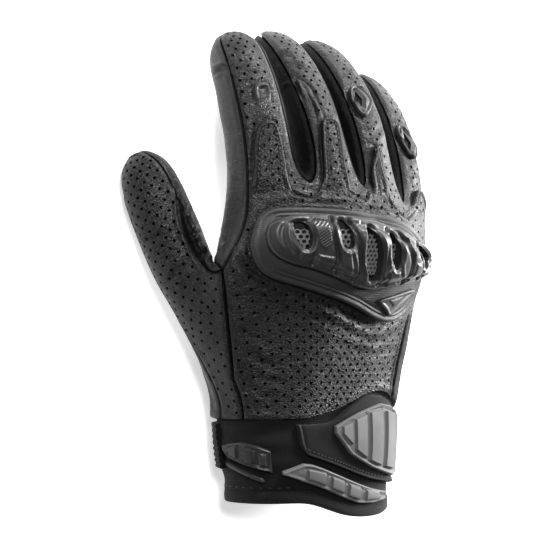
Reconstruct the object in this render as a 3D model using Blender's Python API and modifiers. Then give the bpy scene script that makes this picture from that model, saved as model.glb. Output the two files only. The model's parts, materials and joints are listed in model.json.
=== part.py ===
"""Leather motorcycle glove for the right hand, lying palm down.

The fingers point to +Y, the thumb side is -X and the back of the hand faces +Z. The skin is one
coarse cage, subdivided and then cut along its seams into leather panels. Everything else is a flat
pattern laid on the skin or on the cuff: the knuckle guard, the finger overlays and the wrist strap.
"""
import math

import bmesh
import bpy
from mathutils import Matrix, Vector
from mathutils.bvhtree import BVHTree
from mathutils.geometry import delaunay_2d_cdt
from mathutils.interpolate import poly_3d_calc

MM = 0.001

# Walls and clearances
LEATHER = 1.6 * MM
SEAM_GAP = 0.6 * MM
LAY_GAP = 0.65 * MM
CUFF_WALL = 2.2 * MM
OVERLAY = 1.2 * MM

# The hand
PALM_LENGTH = 99 * MM
WRIST_WIDTH = 94 * MM
WRIST_HEIGHT = 54 * MM
WRIST_LIFT = 26.1 * MM
WRIST_SHIFT = 2.2 * MM
ROOT_LIFT = 52 * MM
FINGER_PITCH = 24.5 * MM
FINGER_LENGTH = 80 * MM
FINGER_WIDTH = 25 * MM
FINGER_HEIGHT = 23.5 * MM
THUMB_LENGTH = 91 * MM
THUMB_WIDTH = 25.8 * MM
THUMB_HEIGHT = 24.5 * MM
# Subdivision pulls a round cage in by this share
CAGE_FIT = 0.902

# The cuff
HEM_DROP = 6 * MM
HEM_RISE = 12 * MM
CUFF_LENGTH = 38.6 * MM
CUFF_DIP = 8 * MM
BINDING_HEIGHT = 4 * MM
BINDING_WALL = 3 * MM
STRAP_THICK = 1.6 * MM
PAD_THICK = 1.3 * MM
BLOCK_RISE = 1.3 * MM
BLOCK_BEVEL = 0.7 * MM
BAR_THICK = 1.6 * MM
GATHER_THICK = 1.2 * MM
GATHER_RISE = 1.6 * MM

# The knuckle guard
BASE_THICK = 1.8 * MM
MESH_THICK = 0.8 * MM
GUARD_THICK = 1.8 * MM
GUARD_CROWN = 4.2 * MM
GUARD_RIM = 7 * MM
GUARD_SEAT = 1.8 * MM
BADGE_THICK = 1.2 * MM
FINGER_GUARD_THICK = 1.8 * MM

# Flat patterns are laid round this line, which runs along Y through the hand
AXIS_X = 4 * MM
AXIS_Z = 30 * MM
WRAP_RADIUS = 36 * MM
FAR = 200 * MM
PATTERN_STEP = 5.5 * MM

# Fingers. across, along, lift: the root's centre as shares of FINGER_PITCH, PALM_LENGTH and
# ROOT_LIFT. length, girth: shares of FINGER_LENGTH and of the finger's section. full: how much wider
# the root is toward the little finger. Angles in degrees.
FINGERS = (
    dict(name="index", across=-1.42, along=0.97, lift=0.85, length=0.965, girth=1.08,
         full=0.13, roll=-10, yaw=-4, bends=(-3, -16, -36)),
    dict(name="middle", across=-0.10, along=0.97, lift=1.00, length=1.14, girth=0.96,
         full=0, roll=0, yaw=-4.5, bends=(-16, -36, -53)),
    dict(name="ring", across=0.92, along=0.925, lift=0.97, length=1.18, girth=0.93,
         full=0, roll=8, yaw=-4, bends=(-13, -37, -57)),
    dict(name="little", across=1.92, along=0.84, lift=0.78, length=1.062, girth=0.88,
         full=0, roll=20, yaw=2.5, bends=(-14, -34, -53)),
)
# Sections along a finger, as shares of its length, width and height
FINGER_SECTIONS = (
    dict(at=0.00, wide=1.02, high=1.02),
    dict(at=0.17, wide=0.92, high=0.99),
    dict(at=0.36, wide=0.94, high=0.99),
    dict(at=0.54, wide=0.96, high=0.95),
    dict(at=0.73, wide=0.92, high=0.89),
    dict(at=0.90, wide=0.77, high=0.71),
)
TIP_AT = 1.04
MIDDLE_JOINT, END_JOINT, BEND_SPAN = 0.42, 0.70, 0.20
# One finger section: across and up, from the back's thumb-side corner round to the thumb side
SECTION = ((-0.80, 0.74), (0, 1.0), (0.80, 0.74), (1.0, 0),
           (0.78, -0.86), (0, -1.08), (-0.78, -0.86), (-1.0, 0))

# The thumb. root: shares of WRIST_WIDTH, PALM_LENGTH and ROOT_LIFT. Angles in degrees.
THUMB = dict(root=(-0.474, 0.333, 0.500), yaw=-18.8, base_yaw=-14, facing=-34, roll=-36,
             pitch=(-8, -11.5, -12.5))
THUMB_SECTIONS = (
    dict(at=0.33, wide=1.01, high=1.04),
    dict(at=0.45, wide=1.04, high=1.04),
    dict(at=0.59, wide=1.05, high=1.00),
    dict(at=0.75, wide=1.00, high=0.93),
    dict(at=0.91, wide=0.83, high=0.77),
)

# Rows from the wrist to the finger roots. at: share of the way. back, palm: swelling as shares of
# ROOT_LIFT. corner, side: how far the thumb-side seam and edge stand out, as shares of WRIST_WIDTH.
PALM_ROWS = (
    dict(at=0.00, back=0.00, palm=0.00, corner=0.000, side=0.000),
    dict(at=0.12, back=0.00, palm=0.135, corner=0.010, side=0.000),
    dict(at=0.38, back=0.05, palm=0.150, corner=0.095, side=0.025),
    dict(at=0.67, back=0.14, palm=0.00, corner=0.200, side=0.055),
    dict(at=0.80, back=0.20, palm=-0.05, corner=0.070, side=0.030),
    dict(at=0.91, back=0.10, palm=-0.03, corner=0.010, side=0.010),
)
THUMB_ROWS = (1, 2)
# How far the web between two fingers runs on past their roots, as a share of FINGER_LENGTH
WEB = 0.07
THUMB_CORNER, LITTLE_CORNER = 27, 21
WRIST_ROUNDING = 0.85
# Sections of the cuff. at: share of the way from the leather's hem to the lower edge. wide, high:
# shares of the room inside the leather. shift, lift: shares of WRIST_WIDTH and WRIST_HEIGHT.
CUFF_ROWS = (
    dict(at=-0.15, wide=1.000, high=1.000, shift=0.000, lift=0.014),
    dict(at=0.05, wide=1.000, high=1.000, shift=0.000, lift=0.000),
    dict(at=0.45, wide=0.960, high=1.000, shift=-0.008, lift=0.030),
    dict(at=1.00, wide=0.920, high=0.900, shift=0.012, lift=0.010),
)

PANELS = ("back_panel", "palm_panel", "index_side_panel", "little_side_panel",
          "fourchette_index_middle", "fourchette_middle_ring", "fourchette_ring_little",
          "thumb_back_panel", "thumb_palm_panel", "thumb_gusset")

# Patterns laid on the fingers. at: share of the finger's length from its root. left, right: degrees
# round the finger from its back line.
TONGUES = (
    dict(name="index_tongue", finger=0, rows=(
        dict(at=-0.075, left=-40, right=42),
        dict(at=-0.03, left=-40, right=36),
        dict(at=0.03, left=-39, right=31),
        dict(at=0.12, left=-32, right=29),
        dict(at=0.22, left=-29, right=28),
        dict(at=0.33, left=-21, right=23),
        dict(at=0.37, left=-8, right=15))),
    dict(name="middle_tongue", finger=1, rows=(
        dict(at=-0.075, left=-60, right=22),
        dict(at=-0.02, left=-54, right=15),
        dict(at=0.03, left=-45, right=12),
        dict(at=0.10, left=-38, right=13),
        dict(at=0.20, left=-31, right=18),
        dict(at=0.29, left=-23, right=22),
        dict(at=0.33, left=-14, right=10))),
    dict(name="ring_tongue", finger=2, rows=(
        dict(at=-0.04, left=-42, right=0),
        dict(at=0.04, left=-40, right=-5),
        dict(at=0.13, left=-36, right=-8),
        dict(at=0.20, left=-20, right=-8),
        dict(at=0.24, left=-14, right=-9))),
    dict(name="little_tongue", finger=3, rows=(
        dict(at=-0.03, left=-46, right=30),
        dict(at=0.05, left=-34, right=30),
        dict(at=0.11, left=-20, right=24),
        dict(at=0.14, left=-10, right=12))),
)
FLEX_PANELS = (
    dict(name="index_flex_panel", finger=0, rows=(
        dict(at=0.40, left=-14, right=22),
        dict(at=0.47, left=-15, right=24),
        dict(at=0.54, left=-12, right=25),
        dict(at=0.57, left=-2, right=18))),
    dict(name="middle_flex_panel", finger=1, rows=(
        dict(at=0.36, left=-36, right=-10),
        dict(at=0.40, left=-42, right=-9),
        dict(at=0.44, left=-43, right=-12),
        dict(at=0.49, left=-43, right=-22),
        dict(at=0.53, left=-42, right=-36))),
)
FINGER_GUARDS = (
    dict(name="ring_finger_guard", finger=2, rows=(
        dict(at=0.385, left=-28, right=-15),
        dict(at=0.405, left=-37, right=2),
        dict(at=0.440, left=-42, right=20),
        dict(at=0.475, left=-42, right=18),
        dict(at=0.505, left=-35, right=6),
        dict(at=0.525, left=-22, right=-8)), hole=(
        dict(at=0.425, left=-22, right=-20),
        dict(at=0.455, left=-32, right=-12),
        dict(at=0.490, left=-24, right=-22))),
    dict(name="little_finger_guard", finger=3, rows=(
        dict(at=0.325, left=-6, right=8),
        dict(at=0.345, left=-18, right=20),
        dict(at=0.390, left=-33, right=28),
        dict(at=0.430, left=-41, right=14),
        dict(at=0.465, left=-39, right=-6),
        dict(at=0.485, left=-31, right=-20)), hole=(
        dict(at=0.360, left=-12, right=-10),
        dict(at=0.400, left=-24, right=1),
        dict(at=0.445, left=-20, right=-18))),
)

# Patterns laid across the back of the hand. at: degrees round the hand from its top.
# low, high: distance from the wrist as shares of PALM_LENGTH.
KNUCKLE_BASE = (
    dict(at=-64, low=0.70, high=0.75),
    dict(at=-62, low=0.62, high=0.84),
    dict(at=-57, low=0.575, high=0.880),
    dict(at=-48, low=0.548, high=0.888),
    dict(at=-34, low=0.517, high=0.886),
    dict(at=-16, low=0.480, high=0.878),
    dict(at=2, low=0.444, high=0.867),
    dict(at=20, low=0.401, high=0.851),
    dict(at=35, low=0.380, high=0.828),
    dict(at=48, low=0.388, high=0.793),
    dict(at=59, low=0.435, high=0.730),
    dict(at=64, low=0.510, high=0.650),
)
KNUCKLE_GUARD = (
    dict(at=-58.5, low=0.735, high=0.79),
    dict(at=-56, low=0.685, high=0.826),
    dict(at=-49, low=0.648, high=0.848),
    dict(at=-36, low=0.622, high=0.852),
    dict(at=-20, low=0.583, high=0.848),
    dict(at=-7, low=0.550, high=0.838),
    dict(at=8, low=0.533, high=0.820),
    dict(at=24, low=0.545, high=0.792),
    dict(at=40, low=0.557, high=0.756),
    dict(at=53, low=0.573, high=0.729),
    dict(at=60, low=0.595, high=0.698),
    dict(at=63, low=0.625, high=0.665),
)
# How far the mesh under the guard stays inside its edges, as a share of PALM_LENGTH
MESH_INSET = 0.06
# Slots through the guard. at: distance from the wrist as a share of PALM_LENGTH.
# left, right: degrees round the hand.
GUARD_SLOTS = (
    (dict(at=0.722, left=-44, right=-40.5), dict(at=0.765, left=-48, right=-39),
     dict(at=0.815, left=-48, right=-42.5)),
    (dict(at=0.728, left=-19, right=-14), dict(at=0.780, left=-21.5, right=-14),
     dict(at=0.822, left=-22, right=-18)),
    (dict(at=0.590, left=0.5, right=9.5), dict(at=0.670, left=-5, right=10),
     dict(at=0.750, left=-6, right=6), dict(at=0.795, left=-5, right=-1.5)),
    (dict(at=0.645, left=20, right=23.5), dict(at=0.715, left=15.5, right=23),
     dict(at=0.772, left=14.5, right=18.5)),
    (dict(at=0.640, left=51, right=54), dict(at=0.680, left=46.5, right=58),
     dict(at=0.725, left=42.5, right=48)),
)
GUARD_BADGE = (
    dict(at=22, low=0.470, high=0.487),
    dict(at=30, low=0.437, high=0.500),
    dict(at=36, low=0.410, high=0.508),
    dict(at=47, low=0.462, high=0.523),
    dict(at=56, low=0.508, high=0.532),
)

# Patterns laid round the cuff. at: degrees round the hand from its top. low, high: distance below
# the wrist as shares of CUFF_LENGTH; a strap row with no high edge ends just under the hem.
WRIST_STRAP = (
    dict(at=-50, low=0.24),
    dict(at=-47, low=0.42),
    dict(at=-43, low=0.53),
    dict(at=-36, low=0.58),
    dict(at=-12, low=0.672),
    dict(at=12, low=0.755),
    dict(at=34, low=0.835),
    dict(at=56, low=0.905),
    dict(at=78, low=0.95),
    dict(at=105, low=0.93),
    dict(at=130, low=0.90),
    dict(at=146, low=0.84),
    dict(at=152, low=0.72),
)
STRAP_PAD = (
    dict(at=-13, low=0.320, high=0.235),
    dict(at=9, low=0.560, high=0.140),
    dict(at=20, low=0.620, high=0.095),
    dict(at=40, low=0.730, high=0.025),
    dict(at=50, low=0.775, high=-0.010),
    dict(at=60, low=0.820, high=0.015),
    dict(at=67, low=0.850, high=0.075),
    dict(at=71, low=0.820, high=0.140),
)
PAD_BLOCKS = (
    (dict(at=-4, low=0.330, high=0.240), dict(at=10, low=0.455, high=0.185)),
    (dict(at=15, low=0.510, high=0.160), dict(at=30, low=0.610, high=0.105)),
    (dict(at=35, low=0.640, high=0.085), dict(at=49, low=0.710, high=0.055)),
    (dict(at=54, low=0.725, high=0.075), dict(at=64, low=0.765, high=0.110)),
)
CUFF_BAR = (
    dict(at=-60, low=0.775, high=0.735),
    dict(at=-45, low=0.865, high=0.650),
    dict(at=-38, low=0.895, high=0.660),
    dict(at=-12, low=1.000, high=0.765),
    dict(at=10, low=1.080, high=0.845),
    dict(at=32, low=1.150, high=0.925),
    dict(at=50, low=1.160, high=0.990),
    dict(at=66, low=1.130, high=1.035),
)
BAR_BLOCKS = (
    (dict(at=-42, low=0.830, high=0.710), dict(at=-22, low=0.910, high=0.765)),
    (dict(at=-14, low=0.945, high=0.805), dict(at=5, low=1.015, high=0.870)),
    (dict(at=13, low=1.045, high=0.900), dict(at=31, low=1.105, high=0.960)),
    (dict(at=39, low=1.115, high=0.990), dict(at=56, low=1.115, high=1.040)),
)
CUFF_PATCH = (
    dict(at=-96, low=0.500, high=0.440),
    dict(at=-91, low=0.590, high=0.420),
    dict(at=-82, low=0.655, high=0.395),
    dict(at=-72, low=0.715, high=0.445),
    dict(at=-65.5, low=0.750, high=0.500),
)
PATCH_BLOCKS = (
    (dict(at=-90, low=0.545, high=0.450), dict(at=-84, low=0.590, high=0.430)),
    (dict(at=-80.5, low=0.610, high=0.445), dict(at=-75, low=0.645, high=0.470)),
    (dict(at=-71.5, low=0.660, high=0.500), dict(at=-68, low=0.675, high=0.530)),
)
PATCH_STRIP = (
    dict(at=-93, low=0.685, high=0.630),
    dict(at=-82, low=0.775, high=0.710),
    dict(at=-71, low=0.865, high=0.800),
)
GATHER = dict(left=-140, right=-99, high=0.20, low=0.72, ribs=4, columns=6)

BLACK_LEATHER = dict(color=(0.022, 0.022, 0.023, 1), roughness=0.48, metallic=0)
GREY_LEATHER = dict(color=(0.075, 0.076, 0.080, 1), roughness=0.55, metallic=0)
BLACK_CLOTH = dict(color=(0.016, 0.016, 0.017, 1), roughness=0.92, metallic=0)
BLACK_RUBBER = dict(color=(0.040, 0.041, 0.043, 1), roughness=0.62, metallic=0)
BLACK_GLOSS = dict(color=(0.012, 0.012, 0.013, 1), roughness=0.16, metallic=0)
GREY_RUBBER = dict(color=(0.16, 0.16, 0.17, 1), roughness=0.55, metallic=0)


def smooth(t):
    """Eased step from 0 to 1"""
    t = min(1.0, max(0.0, t))
    return t * t * (3 - 2 * t)


def material(name, look):
    """One plain material for one piece"""
    finish = bpy.data.materials.new(name)
    finish.use_nodes = True
    shader = finish.node_tree.nodes["Principled BSDF"]
    shader.inputs["Base Color"].default_value = look["color"]
    shader.inputs["Roughness"].default_value = look["roughness"]
    shader.inputs["Metallic"].default_value = look["metallic"]
    return finish


def add_object(name, mesh, look, collection):
    """A named piece in the glove's collection"""
    piece = bpy.data.objects.new(name, mesh)
    mesh.materials.clear()
    mesh.materials.append(material(name, look))
    mesh.shade_smooth()
    mesh.set_sharp_from_angle(angle=math.radians(40))
    collection.objects.link(piece)
    return piece


def heading(yaw, pitch):
    """Unit vector from a yaw off +Y toward +X and a pitch up from the XY plane"""
    flat = math.cos(pitch)
    return Vector((math.sin(yaw) * flat, math.cos(yaw) * flat, math.sin(pitch)))


def finger_frame(finger, at):
    """Directions along, across and up at a share of a finger's length"""
    root, middle, end = finger["bends"]
    pitch = root
    pitch += (middle - root) * smooth((at - MIDDLE_JOINT) / BEND_SPAN + 0.5)
    pitch += (end - middle) * smooth((at - END_JOINT) / BEND_SPAN + 0.5)
    yaw = math.radians(finger["yaw"])
    along = heading(yaw, math.radians(pitch))
    across = Vector((math.cos(yaw), -math.sin(yaw), 0))
    turn = Matrix.Rotation(math.radians(finger["roll"]), 3, along)
    return along, turn @ across, turn @ across.cross(along)


def finger_centre(finger, at):
    """Point on a finger's centre line; at may be below 0, back into the hand"""
    centre = Vector((finger["across"] * FINGER_PITCH, finger["along"] * PALM_LENGTH,
                     finger["lift"] * ROOT_LIFT))
    steps = 24
    for k in range(steps):
        along = finger_frame(finger, at * (k + 0.5) / steps)[0]
        centre += along * (finger["length"] * FINGER_LENGTH * at / steps)
    return centre


def thumb_frame(at):
    """Directions along, across and up at a share of the thumb's length"""
    root, middle, end = THUMB["pitch"]
    pitch = math.radians(root + (middle - root) * smooth(at / 0.4) + (end - middle) * smooth((at - 0.5) / 0.3))
    yaw = math.radians(THUMB["yaw"] + THUMB["base_yaw"] * (1 - smooth(at / 0.45)))
    along = heading(yaw, pitch)
    yaw += math.radians(THUMB["facing"]) * (1 - smooth(at / 0.5))
    facing = heading(yaw, pitch)
    across = Vector((math.cos(yaw), -math.sin(yaw), 0))
    turn = Matrix.Rotation(math.radians(THUMB["roll"]) * smooth(0.3 + at / 0.4), 3, facing)
    return along, turn @ across, turn @ across.cross(facing)


def thumb_centre(at):
    """Point on the thumb's centre line"""
    across, along, lift = THUMB["root"]
    centre = Vector((across * WRIST_WIDTH, along * PALM_LENGTH, lift * ROOT_LIFT))
    steps = 24
    for k in range(steps):
        centre += thumb_frame(at * (k + 0.5) / steps)[0] * (THUMB_LENGTH * at / steps)
    return centre


def section_ring(centre, across, up, wide, high):
    """Eight cage points round a finger's section"""
    return [centre + across * (x * wide) + up * (z * high) for x, z in SECTION]


def finger_rings(finger):
    """Cage sections of one finger and its tip"""
    rings = []
    half_wide = FINGER_WIDTH * finger["girth"] / 2 / CAGE_FIT
    half_high = FINGER_HEIGHT * finger["girth"] / 2 / CAGE_FIT
    for row in FINGER_SECTIONS:
        _, across, up = finger_frame(finger, row["at"])
        extra = half_wide * finger["full"] * (1 - smooth((row["at"] - 0.1) / 0.5))
        centre = finger_centre(finger, row["at"]) + across * extra
        wide = half_wide * row["wide"] + extra
        rings.append(section_ring(centre, across, up, wide, half_high * row["high"]))
    return rings, finger_centre(finger, TIP_AT)


def thumb_rings():
    """Cage sections of the thumb and its tip"""
    rings = []
    for row in THUMB_SECTIONS:
        _, across, up = thumb_frame(row["at"])
        half_wide = THUMB_WIDTH / 2 * row["wide"] / CAGE_FIT
        half_high = THUMB_HEIGHT / 2 * row["high"] / CAGE_FIT
        rings.append(section_ring(thumb_centre(row["at"]), across, up, half_wide, half_high))
    return rings, thumb_centre(TIP_AT)


def wrist_angles():
    """Twenty angles round the wrist: nine over the back, an edge, nine over the palm, an edge"""
    span = 180 - THUMB_CORNER - LITTLE_CORNER
    back = [180 - THUMB_CORNER - span * k / 8 for k in range(9)]
    span = 180 - 2 * LITTLE_CORNER
    palm = [-LITTLE_CORNER - span * k / 8 for k in range(9)]
    return back + [0] + palm + [180]


def wrap_angle(x, z):
    """Degrees round the hand from its top toward +X"""
    return math.degrees(math.atan2(x - AXIS_X, z - AXIS_Z))


def hem_height(x, z):
    """The leather's lower edge, raised where the strap's pad sits"""
    turn = wrap_angle(x, z)
    rise = smooth((turn + 25) / 65) * (1 - smooth((turn - 50) / 45))
    return HEM_RISE * rise - HEM_DROP


def wrist_point(angle, wide, high, shift=0.0, lift=0.0):
    """A point on a rounded section of the wrist, without its height along the hand"""
    c, s = math.cos(math.radians(angle)), math.sin(math.radians(angle))
    x = math.copysign(abs(c) ** WRIST_ROUNDING, c) * wide / 2
    z = math.copysign(abs(s) ** WRIST_ROUNDING, s) * high / 2
    return Vector((x + WRIST_SHIFT + shift, 0, z + WRIST_LIFT + lift))


def cuff_depth(x, z):
    """Distance of the cuff's lower edge below the wrist, deepest under the strap's pad"""
    turn = wrap_angle(x, z)
    return CUFF_LENGTH + CUFF_DIP * smooth((turn + 35) / 60) * (1 - smooth((turn - 55) / 60))


def cuff_cage():
    """Cage of the cuff's outer face, from inside the leather down to its lower edge"""
    room_wide = WRIST_WIDTH - 2 * (LEATHER + LAY_GAP)
    room_high = WRIST_HEIGHT - 2 * (LEATHER + LAY_GAP)
    bm = bmesh.new()
    rings = []
    for row in CUFF_ROWS:
        ring = []
        for angle in wrist_angles():
            point = wrist_point(angle, room_wide * row["wide"], room_high * row["high"],
                                row["shift"] * WRIST_WIDTH, row["lift"] * WRIST_HEIGHT)
            hem = hem_height(point.x, point.z)
            point.y = hem - row["at"] * (hem + cuff_depth(point.x, point.z))
            ring.append(bm.verts.new(point))
        rings.append(ring)
    for upper, lower in zip(rings, rings[1:]):
        for k in range(20):
            turn = (k + 1) % 20
            bm.faces.new([upper[k], upper[turn], lower[turn], lower[k]])
    bmesh.ops.recalc_face_normals(bm, faces=bm.faces)
    mesh = bpy.data.meshes.new("cuff_cage")
    bm.to_mesh(mesh)
    bm.free()
    return mesh


def wrist_ring():
    """Cage points of the leather's hem"""
    ring = []
    for angle in wrist_angles():
        point = wrist_point(angle, WRIST_WIDTH, WRIST_HEIGHT)
        point.y = hem_height(point.x, point.z)
        ring.append(point)
    return ring


def root_ring(rings):
    """Cage points round the finger roots, and the three points inside the crotches"""
    back, palm, inside = [], [], []
    back.append(rings[0][0])
    palm.append(rings[0][6])
    for k, ring in enumerate(rings):
        back.append(ring[1])
        palm.append(ring[5])
        if k < len(rings) - 1:
            following = rings[k + 1]
            back.append((ring[2] + following[0]) / 2)
            web = Vector((0, WEB * FINGER_LENGTH, 0))
            inside.append((ring[3] + following[7]) / 2 + web)
            palm.append((ring[4] + following[6]) / 2 + web)
        else:
            back.append(ring[2])
            palm.append(ring[4])
    return back + [rings[-1][3]] + palm[::-1] + [rings[0][7]], inside


def palm_ring(row, wrist, root):
    """Cage points of one row between the wrist and the finger roots"""
    ring = []
    for k in range(20):
        point = wrist[k].lerp(root[k], row["at"])
        if k <= 8:
            point.z += row["back"] * ROOT_LIFT * math.sin(math.pi * (k + 0.7) / 9.4)
        elif 10 <= k <= 18:
            point.z -= row["palm"] * ROOT_LIFT * math.sin(math.pi * (k - 9.3) / 9.4)
        if k == 0:
            point.x -= row["corner"] * WRIST_WIDTH
        elif k in (18, 19):
            point.x -= row["side"] * WRIST_WIDTH
        ring.append(point)
    return ring


def skin_cage():
    """The whole skin as a coarse cage; each face's material index is its panel"""
    fingers = [finger_rings(finger) for finger in FINGERS]
    root, inside = root_ring([rings[0] for rings, _ in fingers])
    wrist = wrist_ring()
    bm = bmesh.new()

    def add_face(corners, panel):
        bm.faces.new(corners).material_index = PANELS.index(panel)

    def add_tube(ring, rings, tip, panels, end_panels):
        for points in rings:
            sides = end_panels if points is rings[-1] else panels
            following = [bm.verts.new(point) for point in points]
            for k in range(8):
                turn = (k + 1) % 8
                add_face([ring[k], following[k], following[turn], ring[turn]], sides[k])
            ring = following
        end = bm.verts.new(tip)
        for k in range(0, 8, 2):
            add_face([ring[k], end, ring[(k + 2) % 8], ring[k + 1]], end_panels[k])

    rows = [[bm.verts.new(point) for point in palm_ring(row, wrist, root)] for row in PALM_ROWS]
    rows.append([bm.verts.new(point) for point in root])
    for j in range(len(rows) - 1):
        for k in range(20):
            if k >= 18 and j in THUMB_ROWS:
                continue
            if k < 8:
                panel = "back_panel"
            elif k < 10:
                panel = "little_side_panel"
            elif k < 18:
                panel = "palm_panel"
            elif j == 0:
                panel = "thumb_palm_panel" if k == 18 else "thumb_back_panel"
            else:
                panel = "index_side_panel"
            turn = (k + 1) % 20
            add_face([rows[j][k], rows[j + 1][k], rows[j + 1][turn], rows[j][turn]], panel)

    crown = rows[-1]
    middles = [crown[19]] + [bm.verts.new(point) for point in inside] + [crown[9]]
    back, palm = crown[0:9], crown[10:19][::-1]
    sides = ["index_side_panel", *PANELS[4:7], "little_side_panel"]
    for i, (rings, tip) in enumerate(fingers):
        ring = [back[2 * i], back[2 * i + 1], back[2 * i + 2], middles[i + 1],
                palm[2 * i + 2], palm[2 * i + 1], palm[2 * i], middles[i]]
        panels = ["back_panel"] * 2 + [sides[i + 1]] * 2 + ["palm_panel"] * 2 + [sides[i]] * 2
        add_tube(ring, rings[1:], tip, panels, panels)

    low, mid, high = rows[1], rows[2], rows[3]
    ring = [low[0], mid[0], high[0], high[19], high[18], mid[18], low[18], low[19]]
    rings, tip = thumb_rings()
    panels = ["thumb_back_panel"] * 2 + ["thumb_gusset"] * 2 + ["thumb_palm_panel"] * 3 + ["thumb_back_panel"]
    add_tube(ring, rings, tip, panels, panels[:6] + ["thumb_back_panel"] * 2)

    unused = [vertex for vertex in bm.verts if not vertex.link_faces]
    bmesh.ops.delete(bm, geom=unused, context="VERTS")
    bmesh.ops.recalc_face_normals(bm, faces=bm.faces)
    mesh = bpy.data.meshes.new("skin_cage")
    bm.to_mesh(mesh)
    bm.free()
    for panel in PANELS:
        mesh.materials.append(bpy.data.materials.new("cage_" + panel))
    return mesh


def subdivided(mesh, name, guides, levels):
    """The mesh's Subdivision Surface, settled on the ground"""
    guide = bpy.data.objects.new(name, mesh)
    guide.hide_render = True
    guide.display_type = "WIRE"
    guides.objects.link(guide)
    soften = guide.modifiers.new("soften", "SUBSURF")
    soften.levels = levels
    soften.render_levels = levels
    evaluated = guide.evaluated_get(bpy.context.evaluated_depsgraph_get())
    surface = bpy.data.meshes.new_from_object(evaluated)
    for vertex in surface.vertices:
        vertex.co.z = max(vertex.co.z, 0)
    return surface


class Surface:
    """A surface that flat patterns are laid on"""

    def __init__(self, mesh):
        self.points = [vertex.co.copy() for vertex in mesh.vertices]
        self.normals = [vertex.normal.copy() for vertex in mesh.vertices]
        self.faces = [tuple(face.vertices) for face in mesh.polygons]
        self.tree = BVHTree.FromPolygons(self.points, self.faces)

    def place(self, start, toward, height):
        """The point at a height over where a ray meets the surface"""
        spot, _, index, _ = self.tree.ray_cast(start, toward)
        corners = self.faces[index]
        weights = poly_3d_calc([self.points[k] for k in corners], spot)
        normal = Vector()
        for weight, k in zip(weights, corners):
            normal += self.normals[k] * weight
        return spot + normal.normalized() * height


class HandWrap:
    """Flat pattern coordinates: across, round the hand; along, from the wrist"""

    def __init__(self, surface, length):
        self.surface = surface
        self.length = length

    def flat(self, degrees, share):
        return Vector((math.radians(degrees) * WRAP_RADIUS, share * self.length))

    def place(self, flat, height):
        angle = flat.x / WRAP_RADIUS
        out = Vector((math.sin(angle), 0, math.cos(angle)))
        start = Vector((AXIS_X, flat.y, AXIS_Z)) + out * FAR
        return self.surface.place(start, -out, height)


class FingerWrap:
    """Flat pattern coordinates: across, round a finger; along, from its root"""

    def __init__(self, surface, finger):
        self.surface = surface
        self.finger = finger
        self.length = FINGER_LENGTH * finger["length"]
        self.radius = FINGER_WIDTH * finger["girth"] / 2

    def flat(self, degrees, share):
        return Vector((math.radians(degrees) * self.radius, share * self.length))

    def place(self, flat, height):
        at = flat.y / self.length
        angle = flat.x / self.radius
        _, across, up = finger_frame(self.finger, at)
        out = across * math.sin(angle) + up * math.cos(angle)
        start = finger_centre(self.finger, at) + out * FINGER_WIDTH
        return self.surface.place(start, -out, height)


def rounded_loop(corners, turns):
    """A closed smooth curve through the corners, with some points between each two"""
    loop = []
    count = len(corners)
    for k in range(count):
        a, b, c, d = (corners[(k + n) % count] for n in (-1, 0, 1, 2))
        for n in range(turns):
            t = n / turns
            point = 2 * b + (c - a) * t + (2 * a - 5 * b + 4 * c - d) * t ** 2 + (3 * b - a - 3 * c + d) * t ** 3
            loop.append(point / 2)
    return loop


def side_loop(wrap, rows, turns=2):
    """Outline of a pattern whose rows run along the hand and give its left and right"""
    left = [wrap.flat(row["left"], row["at"]) for row in rows]
    right = [wrap.flat(row["right"], row["at"]) for row in rows]
    return rounded_loop(left + right[::-1], turns)


def band_loop(wrap, rows, turns=2):
    """Outline of a pattern whose rows run round the hand and give its low and high edge"""
    low = [wrap.flat(row["at"], row["low"]) for row in rows]
    high = [wrap.flat(row["at"], row["high"]) for row in rows]
    return rounded_loop(low + high[::-1], turns)


def is_inside(point, loop):
    """Whether a flat point lies inside a closed loop"""
    inside = False
    for a, b in zip(loop, loop[1:] + loop[:1]):
        if (a.y > point.y) != (b.y > point.y):
            if point.x < a.x + (b.x - a.x) * (point.y - a.y) / (b.y - a.y):
                inside = not inside
    return inside


def edge_distance(point, loops):
    """Distance from a flat point to the nearest edge of the loops"""
    nearest = FAR
    for loop in loops:
        for a, b in zip(loop, loop[1:] + loop[:1]):
            run = b - a
            share = min(1.0, max(0.0, (point - a).dot(run) / run.length_squared))
            nearest = min(nearest, (point - a - run * share).length)
    return nearest


def inset_loop(loop, distance):
    """The loop drawn in on all sides by a distance"""
    turning = sum(a.x * b.y - b.x * a.y for a, b in zip(loop, loop[1:] + loop[:1]))
    side = math.copysign(1, turning)
    drawn = []
    for k, point in enumerate(loop):
        before = (point - loop[k - 1]).normalized()
        after = (loop[(k + 1) % len(loop)] - point).normalized()
        inward = Vector((-before.y - after.y, before.x + after.x)).normalized() * side
        lean = inward.dot(Vector((-before.y, before.x)) * side)
        drawn.append(point + inward * (distance / max(0.35, lean)))
    return drawn


def split_loop(loop, step):
    """The loop with its long edges split into runs no longer than a step"""
    points = []
    for a, b in zip(loop, loop[1:] + loop[:1]):
        runs = math.ceil((b - a).length / step)
        points += [a + (b - a) * (n / runs) for n in range(runs)]
    return points


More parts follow.
